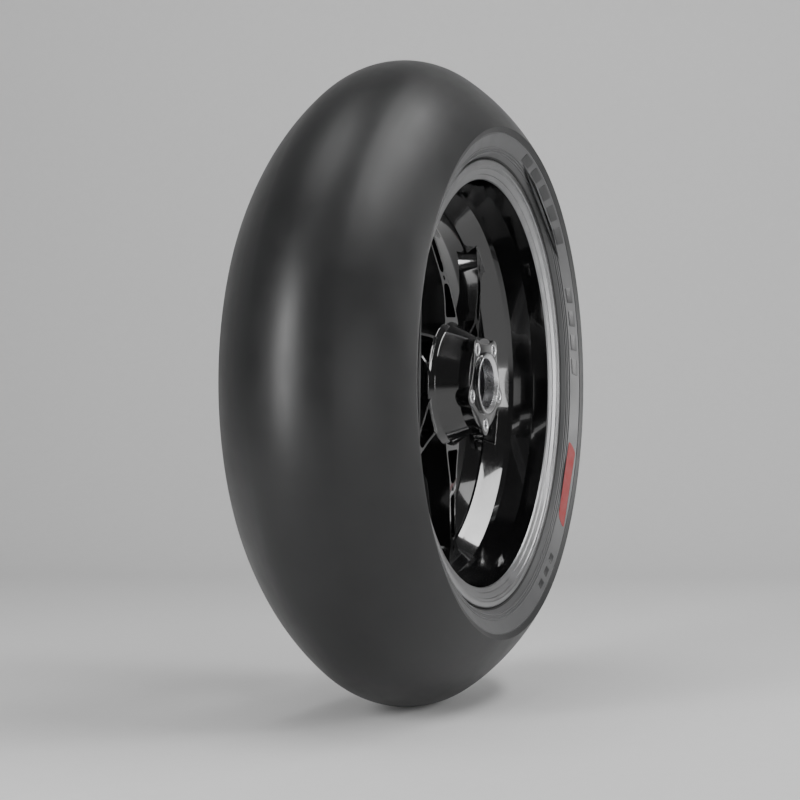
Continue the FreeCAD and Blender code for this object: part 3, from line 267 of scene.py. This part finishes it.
def turned_metal(name, dark, light, low=0.18, high=0.34, rings=900.0):
    """Metal off the lathe: fine rings round the axle, and a slightly uneven tone."""
    finish = Finish(name, metallic=1.0)
    mottle = finish.noise(60, 4)
    cut = finish.node("ShaderNodeTexWave", {"wave_type": "RINGS", "rings_direction": "Y"}, {
        "Vector": finish.place, "Scale": rings, "Distortion": 0.6, "Detail": 2.0})
    finish.set(
        base_color=finish.blend(mottle, dark, light),
        roughness=finish.ramp(mottle + cut * 0.25, 0.3, 0.95, low, high),
        normal=finish.bump(cut, 0.00003, 0.25),
    )
    return finish.material


def moulded(name, dark, light, low, high, grain_scale=500.0, depth=0.00008):
    """Rubber or plastic out of a mould: a fine grain and an uneven sheen."""
    finish = Finish(name, specular_ior_level=0.45)
    mottle = finish.noise(45, 4)
    grain = finish.noise(grain_scale, 3)
    finish.set(
        base_color=finish.blend(mottle, dark, light),
        roughness=finish.ramp(mottle, 0.3, 0.7, low, high),
        normal=finish.bump(grain, depth, 0.4),
    )
    return finish.material


def corded(name, dark, light, scale=260.0):
    """Cords side by side under a skin of rubber."""
    finish = Finish(name)
    mottle = finish.noise(60, 4)
    cords = finish.node("ShaderNodeTexWave", {"wave_type": "BANDS", "bands_direction": "Y"}, {
        "Vector": finish.place, "Scale": scale, "Distortion": 0.2})
    finish.set(
        base_color=finish.blend(mottle * cords, dark, light),
        roughness=finish.ramp(mottle, 0.3, 0.7, 0.55, 0.7),
        normal=finish.bump(cords, 0.0002, 0.5),
    )
    return finish.material


def studio_floor():
    """Pale matt studio paper."""
    finish = Finish("studio_floor")
    fibre = finish.noise(60, 5)
    finish.set(
        base_color=finish.blend(fibre, (0.74, 0.74, 0.74), (0.78, 0.78, 0.78)),
        roughness=finish.ramp(fibre, 0.3, 0.7, 0.75, 0.85),
        normal=finish.bump(fibre, 0.0002, 0.2),
    )
    return finish.material


SLICK = slick_compound()
FLANK = sidewall_rubber()
MARK = mark_rubber()
PATCH = patch_paint()
GLOSS = gloss_black()
BRIGHT = turned_metal("bright_machining", (0.62, 0.62, 0.63), (0.80, 0.80, 0.81))
STEEL = turned_metal("ground_steel", (0.42, 0.42, 0.43), (0.58, 0.58, 0.59), 0.15, 0.3)
SPRING = turned_metal("dark_spring_steel", (0.07, 0.07, 0.08), (0.12, 0.12, 0.13), 0.25, 0.4)
ALLOY = turned_metal("raw_alloy", (0.55, 0.55, 0.56), (0.72, 0.72, 0.73), 0.25, 0.42)
ANODISED = turned_metal("black_anodising", (0.012, 0.012, 0.013), (0.03, 0.03, 0.032), 0.3, 0.42)
BRASS = turned_metal("turned_brass", (0.55, 0.38, 0.14), (0.72, 0.52, 0.22), 0.2, 0.35)
SEAL = moulded("seal_rubber", (0.010, 0.010, 0.011), (0.02, 0.02, 0.021), 0.4, 0.55)
CUSH = moulded("cush_rubber", (0.014, 0.014, 0.014), (0.026, 0.026, 0.026), 0.5, 0.65)
CAP = moulded("cap_plastic", (0.010, 0.010, 0.010), (0.018, 0.018, 0.018), 0.35, 0.5)
CAGE = moulded("cage_plastic", (0.20, 0.13, 0.05), (0.28, 0.19, 0.08), 0.4, 0.55)
CHAFER = moulded("chafer_rubber", (0.012, 0.012, 0.012), (0.022, 0.022, 0.022), 0.5, 0.62)
LINER = moulded("liner_rubber", (0.010, 0.010, 0.010), (0.016, 0.016, 0.016), 0.35, 0.5)
PLY = corded("rubbered_ply", (0.03, 0.025, 0.02), (0.07, 0.06, 0.05))
CORD = corded("rubbered_steel_cord", (0.10, 0.08, 0.05), (0.28, 0.22, 0.14))
WEIGHT = moulded("coated_weight", (0.015, 0.015, 0.016), (0.03, 0.03, 0.031), 0.35, 0.5)
PAPER = studio_floor()
# The lips' lighter grey metal: a painted reflection band on the gloss black lip.
LIP_PAINTED_REFLECTION = turned_metal("lip_painted_reflection", (0.26, 0.26, 0.265), (0.34, 0.34, 0.345), 0.30, 0.40, 700.0)

CAD_FINISHES = {
    "steel_belt": CORD, "carcass_ply": PLY, "inner_liner": LINER, "chafer": CHAFER,
    "bead_core": CORD, "bead_filler": CHAFER, "tread_cap": SLICK, "sidewall": FLANK,
    "wheel_rim": GLOSS, "wheel_spokes": GLOSS, "wheel_hub": GLOSS,
    "inner_ring": STEEL, "outer_ring": STEEL, "balls": STEEL, "cage": CAGE, "seals": SEAL,
    "axle_spacer_tube": ALLOY, "carrier_collar": ALLOY, "bearing_circlip": SPRING,
    "sprocket_carrier": ANODISED, "sprocket_studs": STEEL,
    "cush_rubbers": CUSH, "valve_stem": ANODISED, "valve_nut": ANODISED, "valve_seal": SEAL,
    "valve_core": BRASS, "valve_pin": BRASS, "valve_cap": CAP, "balance_weights": WEIGHT,
}


def dress_cad_nodes():
    """Give every carried-over CAD node its finish."""
    for name, node in NODES.items():
        finish = next(made for part, made in CAD_FINISHES.items() if part in name)
        node.data.materials.clear()
        node.data.materials.append(finish)


# ---------------------------------------------------------------- mesh tools

def mesh_object(name, bm, finish, sharp_above=32):
    """An object from a finished bmesh, smooth but for its sharp edges."""
    bmesh.ops.recalc_face_normals(bm, faces=bm.faces)
    mesh = bpy.data.meshes.new(name)
    bm.to_mesh(mesh)
    bm.free()
    mesh.polygons.foreach_set("use_smooth", [True] * len(mesh.polygons))
    mesh.set_sharp_from_angle(angle=math.radians(sharp_above))
    mesh.materials.append(finish)
    made = bpy.data.objects.new(name, mesh)
    bpy.context.scene.collection.objects.link(made)
    return made


def fillet(before, corner, after, radius, steps=6):
    """Points that round a corner of a section with an arc."""
    if radius <= 0:
        return [corner]
    way_in = (before - corner).normalized()
    way_out = (after - corner).normalized()
    half = way_in.angle(way_out) / 2
    if half > math.radians(89) or half < math.radians(1):
        return [corner]
    reach = radius / math.tan(half)
    limit = 0.48 * min((before - corner).length, (after - corner).length)
    reach = min(reach, limit)
    radius = reach * math.tan(half)
    centre = corner + (way_in + way_out).normalized() * (radius / math.sin(half))
    start = corner + way_in * reach - centre
    end = corner + way_out * reach - centre
    turn = start.angle_signed(end)
    points = []
    for step in range(steps + 1):
        angle = turn * step / steps
        cos, sin = math.cos(angle), math.sin(angle)
        points.append(centre + Vector((start.x * cos + start.y * sin, start.y * cos - start.x * sin)))
    return points


def rounded(corners, steps=6):
    """A closed section with rounded corners, from (along the axle, radius, rounding) in millimetres."""
    points = [Vector((along * MM, radius * MM)) for along, radius, _ in corners]
    section = []
    for number, (_, _, rounding) in enumerate(corners):
        after = points[(number + 1) % len(points)]
        section += fillet(points[number - 1], points[number], after, rounding * MM, steps)
    return section


def lathe_into(bm, section, steps=ROUND, closed=True):
    """Turn a section about the axle into a bmesh."""
    rings = []
    for step in range(steps):
        angle = 2 * math.pi * step / steps
        cos, sin = math.cos(angle), math.sin(angle)
        rings.append([bm.verts.new((radius * cos, along, radius * sin)) for along, radius in section])
    last = len(section) if closed else len(section) - 1
    for step in range(steps):
        here, there = rings[step], rings[(step + 1) % steps]
        for number in range(last):
            follower = (number + 1) % len(section)
            bm.faces.new((here[number], here[follower], there[follower], there[number]))
    return bm


def lathe(name, section, finish, steps=ROUND, sharp_above=32):
    """An object turned about the axle."""
    return mesh_object(name, lathe_into(bmesh.new(), section, steps), finish, sharp_above)


def skin_between(bm, lower, upper):
    """Four-sided faces between two loops of as many vertices."""
    for number in range(len(lower)):
        after = (number + 1) % len(lower)
        bm.faces.new((lower[number], lower[after], upper[after], upper[number]))


def arc_points(centre, radius, first, last, steps):
    """Points along an arc of a section, by angles from the vertical."""
    return [
        centre + radius * Vector((math.sin(angle), math.cos(angle)))
        for angle in (first + (last - first) * step / steps for step in range(steps + 1))
    ]


def mirrored(section):
    """A section's other half, on the far side of the centre plane."""
    return [Vector((-point.x, point.y)) for point in reversed(section)]


# -------------------------------------------------------------------- tyre

def crown_section():
    """The tread's outside from one shoulder to the other: a tight crown arc that runs into flatter flanks."""
    crown_centre = Vector((0, TYRE_RADIUS - CROWN_CURVE))
    join = crown_centre + CROWN_CURVE * Vector((math.sin(CROWN_TURN), math.cos(CROWN_TURN)))
    edge = Vector((TYRE_HALF, TYRE_RADIUS - SHOULDER_DROP))
    way = (join - crown_centre).normalized()
    chord = join - edge
    flank_curve = chord.length_squared / (2 * chord.dot(way))
    flank_centre = join - way * flank_curve
    end = math.atan2(edge.x - flank_centre.x, edge.y - flank_centre.y)
    flank = arc_points(flank_centre, flank_curve, CROWN_TURN, end, 40)
    crown = arc_points(crown_centre, CROWN_CURVE, 0, CROWN_TURN, 24)
    return crown + flank[1:]


FLANK_TOP = Vector((TYRE_HALF, TYRE_RADIUS - SHOULDER_DROP))
FLANK_FOOT = Vector((LIP_PLANE + 4 * MM, FLANGE_RADIUS + 5 * MM))
FLANK_WAY = (FLANK_FOOT - FLANK_TOP).normalized()
FLANK_OUT = Vector((-FLANK_WAY.y, FLANK_WAY.x))


def mark_row(first, pitch, count, span, low, high, height):
    """Plain raised blocks in a row, one every so many degrees; add_block says what each value is."""
    return [(first - pitch * number, span, low, high, 0.35, 0.45, height) for number in range(count)]


MARKS = mark_row(72, 7.6, 5, 5.2, 0.14, 0.56, 1.2)
MARKS += [(54, 38, 0.61, 0.635, 0, 0.3, 0.2)]
MARKS += mark_row(24, 6.4, 4, 4.2, 0.18, 0.54, 1.0)
MARKS += mark_row(-50, 5.0, 3, 2.8, 0.24, 0.46, 0.8)
MARKS += mark_row(196, 7.6, 5, 5.2, 0.14, 0.56, 1.2)
MARKS += [(178, 38, 0.61, 0.635, 0, 0.3, 0.2)]
PATCHES = [(-27, 22, 0.12, 0.60, 0.9, 0.3, 4.0)]


def build_tread():
    """The bald slick's cap, as a closed band with the frame's thickness and square edges."""
    half = crown_section()
    inner = []
    for number, point in enumerate(half[:-2]):
        along = (half[number + 1] - half[max(number - 1, 0)]).normalized()
        inner.append(point + Vector((along.y, -along.x)) * TREAD_THICKNESS)
    edge = fillet(half[-2], FLANK_TOP, FLANK_TOP + FLANK_WAY * EDGE_THICKNESS, 0.7 * MM, 4)
    outer = half[:-1] + edge + [FLANK_TOP + FLANK_WAY * EDGE_THICKNESS]
    section = mirrored(outer[1:]) + outer + list(reversed(mirrored(inner[1:]) + inner))
    tread = lathe("bald_tread", section, SLICK, sharp_above=40)
    return own(tread, "tread_rubber", "tread_cap")


def flank_point(share, height=0.0):
    """A point on the flank, from 0 at the tread to 1 at the foot, raised off it by a height."""
    top = FLANK_TOP + FLANK_WAY * (EDGE_THICKNESS + 0.1 * MM)
    return top + (FLANK_FOOT - top) * share + FLANK_OUT * height


def rim_line(share, height, width):
    """A half-round line that stands off the flank."""
    reach = (FLANK_FOOT - flank_point(0)).length
    return [
        flank_point(share + width * math.cos(math.pi * (1 - step / 8)) / 2 / reach,
                    height * math.sin(math.pi * step / 8))
        for step in range(9)
    ]


def build_flank(side, sign, marks, patches):
    """One flank: its rubber with raised lines near the rim, moulded marks and the ink patch."""
    groove = Vector((RIM_HALF + 2.5 * MM, FLANGE_RADIUS + 0.3 * MM))
    outside = [flank_point(0), flank_point(0.02, -0.5 * MM), flank_point(0.05, -0.5 * MM), flank_point(0.07)]
    outside += rim_line(0.70, 0.8 * MM, 2.0 * MM) + rim_line(0.82, 0.6 * MM, 1.2 * MM)
    outside += rim_line(0.92, 0.9 * MM, 2.2 * MM)
    outside += fillet(flank_point(0.95), FLANK_FOOT, groove, 1.2 * MM, 5)
    outside.append(groove + (FLANK_FOOT - groove) * 0.4)
    inside = [
        flank_point(0.95, -SIDEWALL_THICKNESS * 1.6), flank_point(0.5, -SIDEWALL_THICKNESS),
        flank_point(0.0, -SIDEWALL_THICKNESS),
    ]
    section = [Vector((point.x * sign, point.y)) for point in outside + inside]
    flank = lathe(f"moulded_flank_{side}", section, FLANK, sharp_above=28)
    own(flank, "sidewall_rubber", f"sidewall_{side}")
    for name, blocks, finish in (("marks", marks, MARK), ("patch", patches, PATCH)):
        if blocks:
            raised = bmesh.new()
            for block in blocks:
                add_block(raised, sign, *block)
            own(mesh_object(f"flank_{name}_{side}", raised, finish, 25), "sidewall_rubber")


def add_block(bm, sign, middle, span, low, high, slant, height, corner):
    """A low plate on the flank: angles in degrees, its edges as shares of the flank's width."""
    outline = []
    centre_radius = flank_point(0.4).y
    half_turn = math.radians(span / 2)
    width = (FLANK_FOOT - flank_point(0)).length
    half_width = (high - low) * width / 2
    half_length = half_turn * centre_radius
    corner = min(corner * MM, half_width * 0.98, half_length * 0.98)
    for quarter in range(4):
        across = half_length - corner if quarter in (0, 3) else corner - half_length
        over = half_width - corner if quarter < 2 else corner - half_width
        for step in range(7):
            turn = math.pi / 2 * (quarter + step / 6)
            outline.append((across + corner * math.cos(turn), over + corner * math.sin(turn)))

    def place(along, over, lift):
        share = (low + high) / 2 + over / width
        turn = math.radians(middle) + (along + slant * over) / centre_radius
        point = flank_point(share, lift)
        return (point.y * math.cos(turn), sign * point.x, point.y * math.sin(turn))

    inset = 1 - 0.45 * MM / half_width
    rings = [
        [bm.verts.new(place(along, over, -0.2 * MM)) for along, over in outline],
        [bm.verts.new(place(along, over, height * MM * 0.7)) for along, over in outline],
        [bm.verts.new(place(along * inset, over * inset, height * MM)) for along, over in outline],
    ]
    for lower, upper in zip(rings, rings[1:]):
        skin_between(bm, lower, upper)
    bm.faces.new(rings[-1])


def own(piece, slot, *nodes):
    """Hang a piece on the wheel, in place of the frame's nodes that it stands for."""
    if nodes:
        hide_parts(*nodes)
    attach(piece, "wheel")
    return piece


# ------------------------------------------------------------------- wheel

def rim_corners():
    """Half of the rim's section, from the drop centre to the lip and back, with each corner's rounding."""
    lip, flange, seat_in = LIP_PLANE / MM, FLANGE_RADIUS / MM, SEAT_INSIDE / MM
    half, seat, well = RIM_HALF / MM, SEAT_RADIUS / MM, WELL_RADIUS / MM
    crest, place = CREST_RADIUS / MM, CREST_PLACE / MM
    outside = [
        (10, well + 5, 4), (22, well + 9, 6), (place + 5, crest + 7, 6), (half - 27, seat - 1.5, 3),
        (half - 22, seat + 0.8, 1), (half - 19, seat, 1), (half, seat, 1.5), (half, flange, 2.4),
    ]
    inside = [
        (lip, flange, 2.4), (lip, flange - 6.2, 0.5), (lip - 0.9, flange - 6.8, 0.4),
        (lip - 1.3, flange - 9.4, 0.4), (lip - 2.5, flange - 10.0, 0.4), (lip - 4.4, flange - 15.4, 0.4),
        (lip - 5.6, flange - 15.9, 0.4), (lip - 6.9, seat_in + 0.9, 0.5), (lip - 8.6, seat_in, 0.6),
        (lip - 26, seat_in - 1.6, 8), (place + 3, crest, 2.5), (place - 2, crest - 1.6, 1.6),
        (16, well + 4, 3), (10, well, 5),
    ]
    return outside + inside


def build_rim(bm):
    """The rim's ring, from its rounded section."""
    half = rim_corners()
    outside, inside = half[:8], half[8:]
    section = [(-along, radius, turn) for along, radius, turn in reversed(outside)] + outside
    section += inside + [(-along, radius, turn) for along, radius, turn in reversed(inside)]
    lathe_into(bm, rounded(section, 5))


def barrel_inside(along):
    """The barrel's inner radius at a place along the axle, near the spokes' feet."""
    along = abs(along)
    if along < WELL_HALF:
        return WELL_RADIUS
    if along < STEP_FOOT:
        return WELL_RADIUS + STEP_RISE * (along - WELL_HALF) / (STEP_FOOT - WELL_HALF)
    return WELL_RADIUS + STEP_RISE + CREST_RISE * (along - STEP_FOOT) / CREST_RUN


def between(table, value):
    """Read a table of (value, result) rows, in millimetres, with smooth steps between its rows."""
    value /= MM
    if value <= table[0][0]:
        return table[0][1] * MM
    for (low, first), (high, second) in zip(table, table[1:]):
        if value <= high:
            share = (value - low) / (high - low)
            return (first + (second - first) * share) * MM
    return table[-1][1] * MM


# A spoke's front face, back face and half width at radii from the axle, in millimetres.
SPOKE_FRONT = [(50, -38.5), (66, -38.3), (100, -36), (145, -29), (190, -21.5)]
SPOKE_BACK = [(50, 14), (66, 12), (80, 0), (100, -10), (145, -8), (190, 1)]
SPOKE_HALF = [
    (50, 21), (62, 20), (72, 17.6), (88, 13.4), (104, 9.8), (114, 8.8), (125, 8.8), (150, 8.4), (171, 8.4),
]
SPOKE_FOOT = 171 * MM
FOOT_HALF = 23 * MM
RIB = 2.9 * MM
WEB = 4.5 * MM

# Over this last stretch a spoke's end bends to the barrel's inside.
FOOT_BEND = 6 * MM
FOOT_OVERRUN = 3 * MM


def spoke_half(radius):
    """Half the spoke's width, flared in a quarter round at its foot."""
    if radius <= SPOKE_FOOT:
        return between(SPOKE_HALF, radius)
    share = min((radius - SPOKE_FOOT) / (WELL_RADIUS - SPOKE_FOOT), 1)
    tip = SPOKE_HALF[-1][1] * MM
    return tip + (FOOT_HALF - tip) * (1 - math.sqrt(1 - share * share))


def pocket_rows(start, end, depth, width=None, easing=(20, 20)):
    """Rows of a pocket: radius, half width and the share of the full depth. Its ends' corners are rounded."""
    def half(radius):
        return width * MM if width else spoke_half(radius) - RIB

    def end_rows(place, inwards, turn_radius):
        flat = half(place + inwards * turn_radius) - turn_radius
        rows = [(place, flat, 0), (place + inwards * 0.01 * MM, flat + 0.02 * MM, depth)]
        for step in range(1, 7):
            turn = math.pi / 2 * step / 6
            rows.append((place + inwards * turn_radius * (1 - math.cos(turn)),
                         flat + turn_radius * math.sin(turn), depth))
        return rows

    start, end = start * MM, end * MM
    first = min(half(start), easing[0] * MM)
    last = min(half(end), easing[1] * MM)
    steps = max(int((end - start - first - last) / (4 * MM)), 1)
    middle = [start + first + (end - start - first - last) * step / steps for step in range(1, steps)]
    rows = end_rows(start, 1, first) + [(radius, half(radius), depth) for radius in middle]
    return rows + list(reversed(end_rows(end, -1, last)))


def spoke_rows():
    """Every row along a spoke, from inside the hub to inside the barrel's wall."""
    rows = [(radius * MM, 0, 0) for radius in (54, 60, 66)]
    rows += pocket_rows(69.5, 105, 1, easing=(3, 20))
    rows += pocket_rows(108.5, 113.5, 0.5, 2.2)
    rows += pocket_rows(117, 171, 1)
    rows += [(radius * MM, 0, 0) for radius in (172.5, 174, 176)]
    rows += pocket_rows(177.5, 184.5, 0.6, 2.7)
    rows += [(radius * MM, 0, 0) for radius in (185.5, 187, 188, 188.7, 189)]
    return rows


def build_spoke(bm, number):
    """One swept I-beam spoke, with its pockets, bridges, dimples and flared foot."""
    start = SPOKE_ANGLE + 2 * math.pi * number / SPOKES
    loops = []
    rows = spoke_rows()
    for radius, pocket, depth in rows + [(WELL_RADIUS + FOOT_OVERRUN, 0, 0)]:
        front, back = between(SPOKE_FRONT, radius), between(SPOKE_BACK, radius)
        half = spoke_half(min(radius, WELL_RADIUS))
        sunk = (back - front - WEB) / 2 * depth
        floor = max(pocket - 0.7 * MM, pocket * 0.4)
        section = [
            (-half, front), (-pocket, front), (-floor, front + sunk), (floor, front + sunk), (pocket, front),
            (half, front), (half, back), (pocket, back), (floor, back - sunk), (-floor, back - sunk),
            (-pocket, back), (-half, back),
        ]
        turn = start + SPOKE_SWEEP * (radius - SPOKE_SWEEP_FROM)
        cos, sin = math.cos(turn), math.sin(turn)
        loop = []
        for across, along in section:
            reach = radius
            bend = radius - WELL_RADIUS + FOOT_BEND
            if bend > 0:
                reach += max(barrel_inside(along) - WELL_RADIUS, 0) * bend / FOOT_BEND
            loop.append(bm.verts.new((reach * cos - across * sin, along, reach * sin + across * cos)))
        loops.append(loop)
    for lower, upper in zip(loops, loops[1:]):
        skin_between(bm, lower, upper)
    bm.faces.new(list(reversed(loops[0])))
    bm.faces.new(loops[-1])


def build_hub(bm):
    """The hub: spoke ring, waist, boss and bearing bore, with the cush drum behind."""
    boss, boss_face = BOSS_RADIUS / MM, -BOSS_FACE / MM
    bearing, bearing_face = BEARING_RADIUS / MM, -BEARING_FACE / MM
    front = [
        (14, 20.5, 0), (14, 66, 1), (-36.5, 66.5, 2.5), (-42, 61, 5), (-50, 56.5, 5), (-63, 49, 1),
        (-74, 47, 0), (-74, boss, 0), (boss_face, boss, 0.8), (boss_face, bearing + 5.6, 0.4),
        (boss_face + 1.0, bearing + 3.6, 0), (boss_face + 3.4, bearing + 0.8, 0.3),
        (bearing_face - 1, bearing + 0.2, 0), (bearing_face - 1, 27.6, 0),
        (bearing_face + 15.5, 26.1, 0), (bearing_face + 15.5, 20.5, 0),
    ]
    lathe_into(bm, rounded(front, 5), 360)
    rim = DRUM_RIM / MM
    drum = [
        (8, 22, 0), (28, 22, 0), (28, 26.1, 0), (46.5, 26.1, 0.4), (46.5, 33, 0.8), (18, 33, 2), (18, 65, 2),
        (rim, 65, 0.6), (rim, 70, 0.8), (10, 70, 2),
    ]
    lathe_into(bm, rounded(drum, 4), 240)


def arc_through(first, middle, last, steps):
    """Points on the circle through three points, without the last."""
    a, b, c = (Vector(point) for point in (first, middle, last))
    double = 2 * (a.x * (b.y - c.y) + b.x * (c.y - a.y) + c.x * (a.y - b.y))
    squares = [point.length_squared for point in (a, b, c)]
    centre = Vector((
        (squares[0] * (b.y - c.y) + squares[1] * (c.y - a.y) + squares[2] * (a.y - b.y)) / double,
        (squares[0] * (c.x - b.x) + squares[1] * (a.x - c.x) + squares[2] * (b.x - a.x)) / double,
    ))
    start, end = a - centre, c - centre
    turn = math.atan2(start.x * end.y - start.y * end.x, start.dot(end))
    side = math.atan2(start.x * (b - centre).y - start.y * (b - centre).x, start.dot(b - centre))
    if turn * side < 0:
        turn -= math.copysign(2 * math.pi, turn)
    points = []
    for step in range(steps):
        angle = turn * step / steps
        cos, sin = math.cos(angle), math.sin(angle)
        points.append(centre + Vector((start.x * cos - start.y * sin, start.x * sin + start.y * cos)))
    return points


def polar(radius, degrees):
    """A point in the wheel's plane, from a radius in millimetres and an angle."""
    angle = math.radians(degrees)
    return Vector((radius * math.cos(angle), radius * math.sin(angle))) * MM


# The brake flange's outline, in millimetres and degrees: lobes, the scallops between and where they meet.
LOBE_TOP = 54
LOBE_SIDE = 48
LOBE_TURN = 11.5
SCALLOP_FLOOR = 41
FLANGE_BORE = 30
BOLT_RECESS = 6.4
FLANGE_EDGE = 0.9 * MM


def build_flange(bm):
    """The brake flange's lobed plate with its bolt holes, from a filled outline with eased edges."""
    first = math.degrees(DISC_BOLT_ANGLE)
    pitch = 360 / DISC_BOLTS
    outline = []
    for number in range(DISC_BOLTS):
        middle = first + number * pitch
        leading = polar(LOBE_SIDE, middle - LOBE_TURN)
        trailing = polar(LOBE_SIDE, middle + LOBE_TURN)
        following = polar(LOBE_SIDE, middle + pitch - LOBE_TURN)
        outline += arc_through(leading, polar(LOBE_TOP, middle), trailing, 16)
        outline += arc_through(trailing, polar(SCALLOP_FLOOR, middle + pitch / 2), following, 20)
    holes = [[polar(FLANGE_BORE, 360 * step / 96) for step in range(96)]]
    for number in range(DISC_BOLTS):
        centre = polar(DISC_BOLT_CIRCLE / MM, first + number * pitch)
        holes.append([centre + polar(BOLT_RECESS, 360 * step / 40) for step in range(40)])
    curve = bpy.data.curves.new("flange_outline", "CURVE")
    curve.dimensions = "2D"
    curve.fill_mode = "BOTH"
    curve.extrude = DISC_FLANGE / 2 - FLANGE_EDGE
    curve.bevel_depth = FLANGE_EDGE
    curve.bevel_resolution = 3
    curve.offset = -FLANGE_EDGE
    for points in [outline] + holes:
        spline = curve.splines.new("POLY")
        spline.points.add(len(points) - 1)
        for target, point in zip(spline.points, points):
            target.co = (point.x, point.y, 0, 1)
        spline.use_cyclic_u = True
    shape = bpy.data.objects.new("flange_outline", curve)
    bpy.context.scene.collection.objects.link(shape)
    mesh = bpy.data.meshes.new_from_object(shape)
    bpy.data.objects.remove(shape)
    bpy.data.curves.remove(curve)
    upright = Matrix.Rotation(math.pi / 2, 4, "X")
    mesh.transform(Matrix.Translation((0, DISC_FLANGE / 2 - DISC_FACE, 0)) @ upright)
    bm.from_mesh(mesh)
    bpy.data.meshes.remove(mesh)


def build_wheel():
    """The forged wheel in gloss black; its lips' faces get a lighter grey metal, a painted reflection band.
    """
    bm = bmesh.new()
    build_rim(bm)
    build_hub(bm)
    build_flange(bm)
    for number in range(SPOKES):
        build_spoke(bm, number)
    bmesh.ops.remove_doubles(bm, verts=bm.verts, dist=0.003 * MM)
    wheel = mesh_object("forged_race_wheel", bm, GLOSS, 30)
    wheel.data.materials.append(LIP_PAINTED_REFLECTION)
    # Faces near each lip take the lighter grey metal: a painted reflection band.
    for face in wheel.data.polygons:
        centre = face.center
        if abs(centre.y) > LIP_PLANE - 9.2 * MM and math.hypot(centre.x, centre.z) > SEAT_INSIDE:
            face.material_index = 1
    return own(wheel, "gloss_black_paint", "wheel_rim", "wheel_spokes", "wheel_hub")


def build_machined_rings():
    """Bright machined rings: round each disc bolt's hole, and round the bearing's bore."""
    bm = bmesh.new()
    face = -DISC_FACE / MM
    section = rounded([
        (face, 4.25, 0.3), (face - 0.5, 5.0, 0.3), (face - 0.5, 6.9, 0.5), (face + 0.5, 7.1, 0.3),
        (face + 12, 6.2, 0), (face + 12, 4.25, 0),
    ], 4)
    for number in range(DISC_BOLTS):
        centre = polar(DISC_BOLT_CIRCLE / MM, math.degrees(DISC_BOLT_ANGLE) + number * 360 / DISC_BOLTS)
        ring = lathe_into(bmesh.new(), section, 48)
        mesh = bpy.data.meshes.new("ring")
        ring.to_mesh(mesh)
        ring.free()
        mesh.transform(Matrix.Translation((centre.x, 0, centre.y)))
        bm.from_mesh(mesh)
        bpy.data.meshes.remove(mesh)
    boss_face, bearing_face = -BOSS_FACE / MM, -BEARING_FACE / MM
    bore = [
        (boss_face - 0.02, 31.6, 0.3), (boss_face - 0.02, 29.4, 0.3), (boss_face + 3.0, 26.3, 0.3),
        (bearing_face - 1.2, 26.3, 0), (bearing_face - 1.2, 26.6, 0), (boss_face + 3.2, 26.6, 0),
    ]
    lathe_into(bm, rounded(bore, 4), 192)
    return own(mesh_object("machined_rings", bm, BRIGHT, 35), "machined_steel")


# ------------------------------------------------------------------ studio

def soft_light(name, place, size, power, aim=(0, 0, 0), along=(0, 0, 1)):
    """A rectangular studio light that faces a point, with its second side along a direction."""
    data = bpy.data.lights.new(name, "AREA")
    data.shape = "RECTANGLE"
    data.size, data.size_y = size
    data.energy = power
    light = bpy.data.objects.new(name, data)
    back = (Vector(place) - Vector(aim)).normalized()
    side = Vector(along).cross(back).normalized()
    light.matrix_world = Matrix.LocRotScale(
        Vector(place), Matrix((side, back.cross(side), back)).transposed().to_quaternion(), None)
    bpy.context.scene.collection.objects.link(light)
    return light


def build_studio():
    """A pale floor that curves up behind, soft lights and the camera."""
    floor_level = -TYRE_RADIUS - 0.5 * MM
    bm = bmesh.new()
    profile = [Vector((-PAPER_REACH, floor_level)), Vector((PAPER_TURN, floor_level))]
    for step in range(1, 25):
        turn = math.pi / 2 * step / 24
        profile.append(Vector((
            PAPER_TURN + PAPER_CURVE * math.sin(turn), floor_level + PAPER_CURVE * (1 - math.cos(turn)))))
    profile.append(Vector((PAPER_TURN + PAPER_CURVE, PAPER_HEIGHT)))
    sides = [CAMERA_SIDE * -PAPER_REACH, CAMERA_SIDE * PAPER_REACH]
    rows = [
        [bm.verts.new(side - CAMERA_WAY * point.x + Vector((0, 0, point.y))) for side in sides]
        for point in profile
    ]
    for lower, upper in zip(rows, rows[1:]):
        bm.faces.new((lower[0], lower[1], upper[1], upper[0]))
    floor = mesh_object("studio_paper", bm, PAPER, 80)
    world = bpy.data.worlds.new("studio_air")
    world.use_nodes = True
    air = world.node_tree.nodes["Background"]
    air.inputs["Color"].default_value = (1.0, 1.0, 1.0, 1)
    air.inputs["Strength"].default_value = 0.12
    bpy.context.scene.world = world
    soft_light("tread_light", (-2.2, 0.82, 0.30), (0.60, 1.9), 56)
    soft_light("side_light", (0.9, -2.6, 0.3), (0.9, 2.2), 70)
    soft_light("top_strip", (0.10, -1.15, 1.95), (0.32, 2.3), 26, along=(0.92, 0.37, 0.1))
    soft_light("top_light", (-0.5, 0.3, 2.6), (1.4, 1.4), 20)
    soft_light("low_light", (-1.5, -1.9, -0.1), (0.25, 1.2), 8)
    camera_data = bpy.data.cameras.new("camera")
    camera_data.lens = CAMERA_LENS
    camera_data.sensor_width = 36
    camera = bpy.data.objects.new("camera", camera_data)
    sideways, down = CAMERA_SHIFT
    camera.location = CAMERA_WAY * CAMERA_DISTANCE - CAMERA_SIDE * sideways - Vector((0, 0, down))
    camera.rotation_euler = (-CAMERA_WAY).to_track_quat("-Z", "Y").to_euler()
    bpy.context.scene.collection.objects.link(camera)
    bpy.context.scene.camera = camera


dress_cad_nodes()
build_tread()
build_flank("right", -1, MARKS, PATCHES)
build_flank("left", 1, MARKS, PATCHES)
build_wheel()
build_machined_rings()
build_studio()
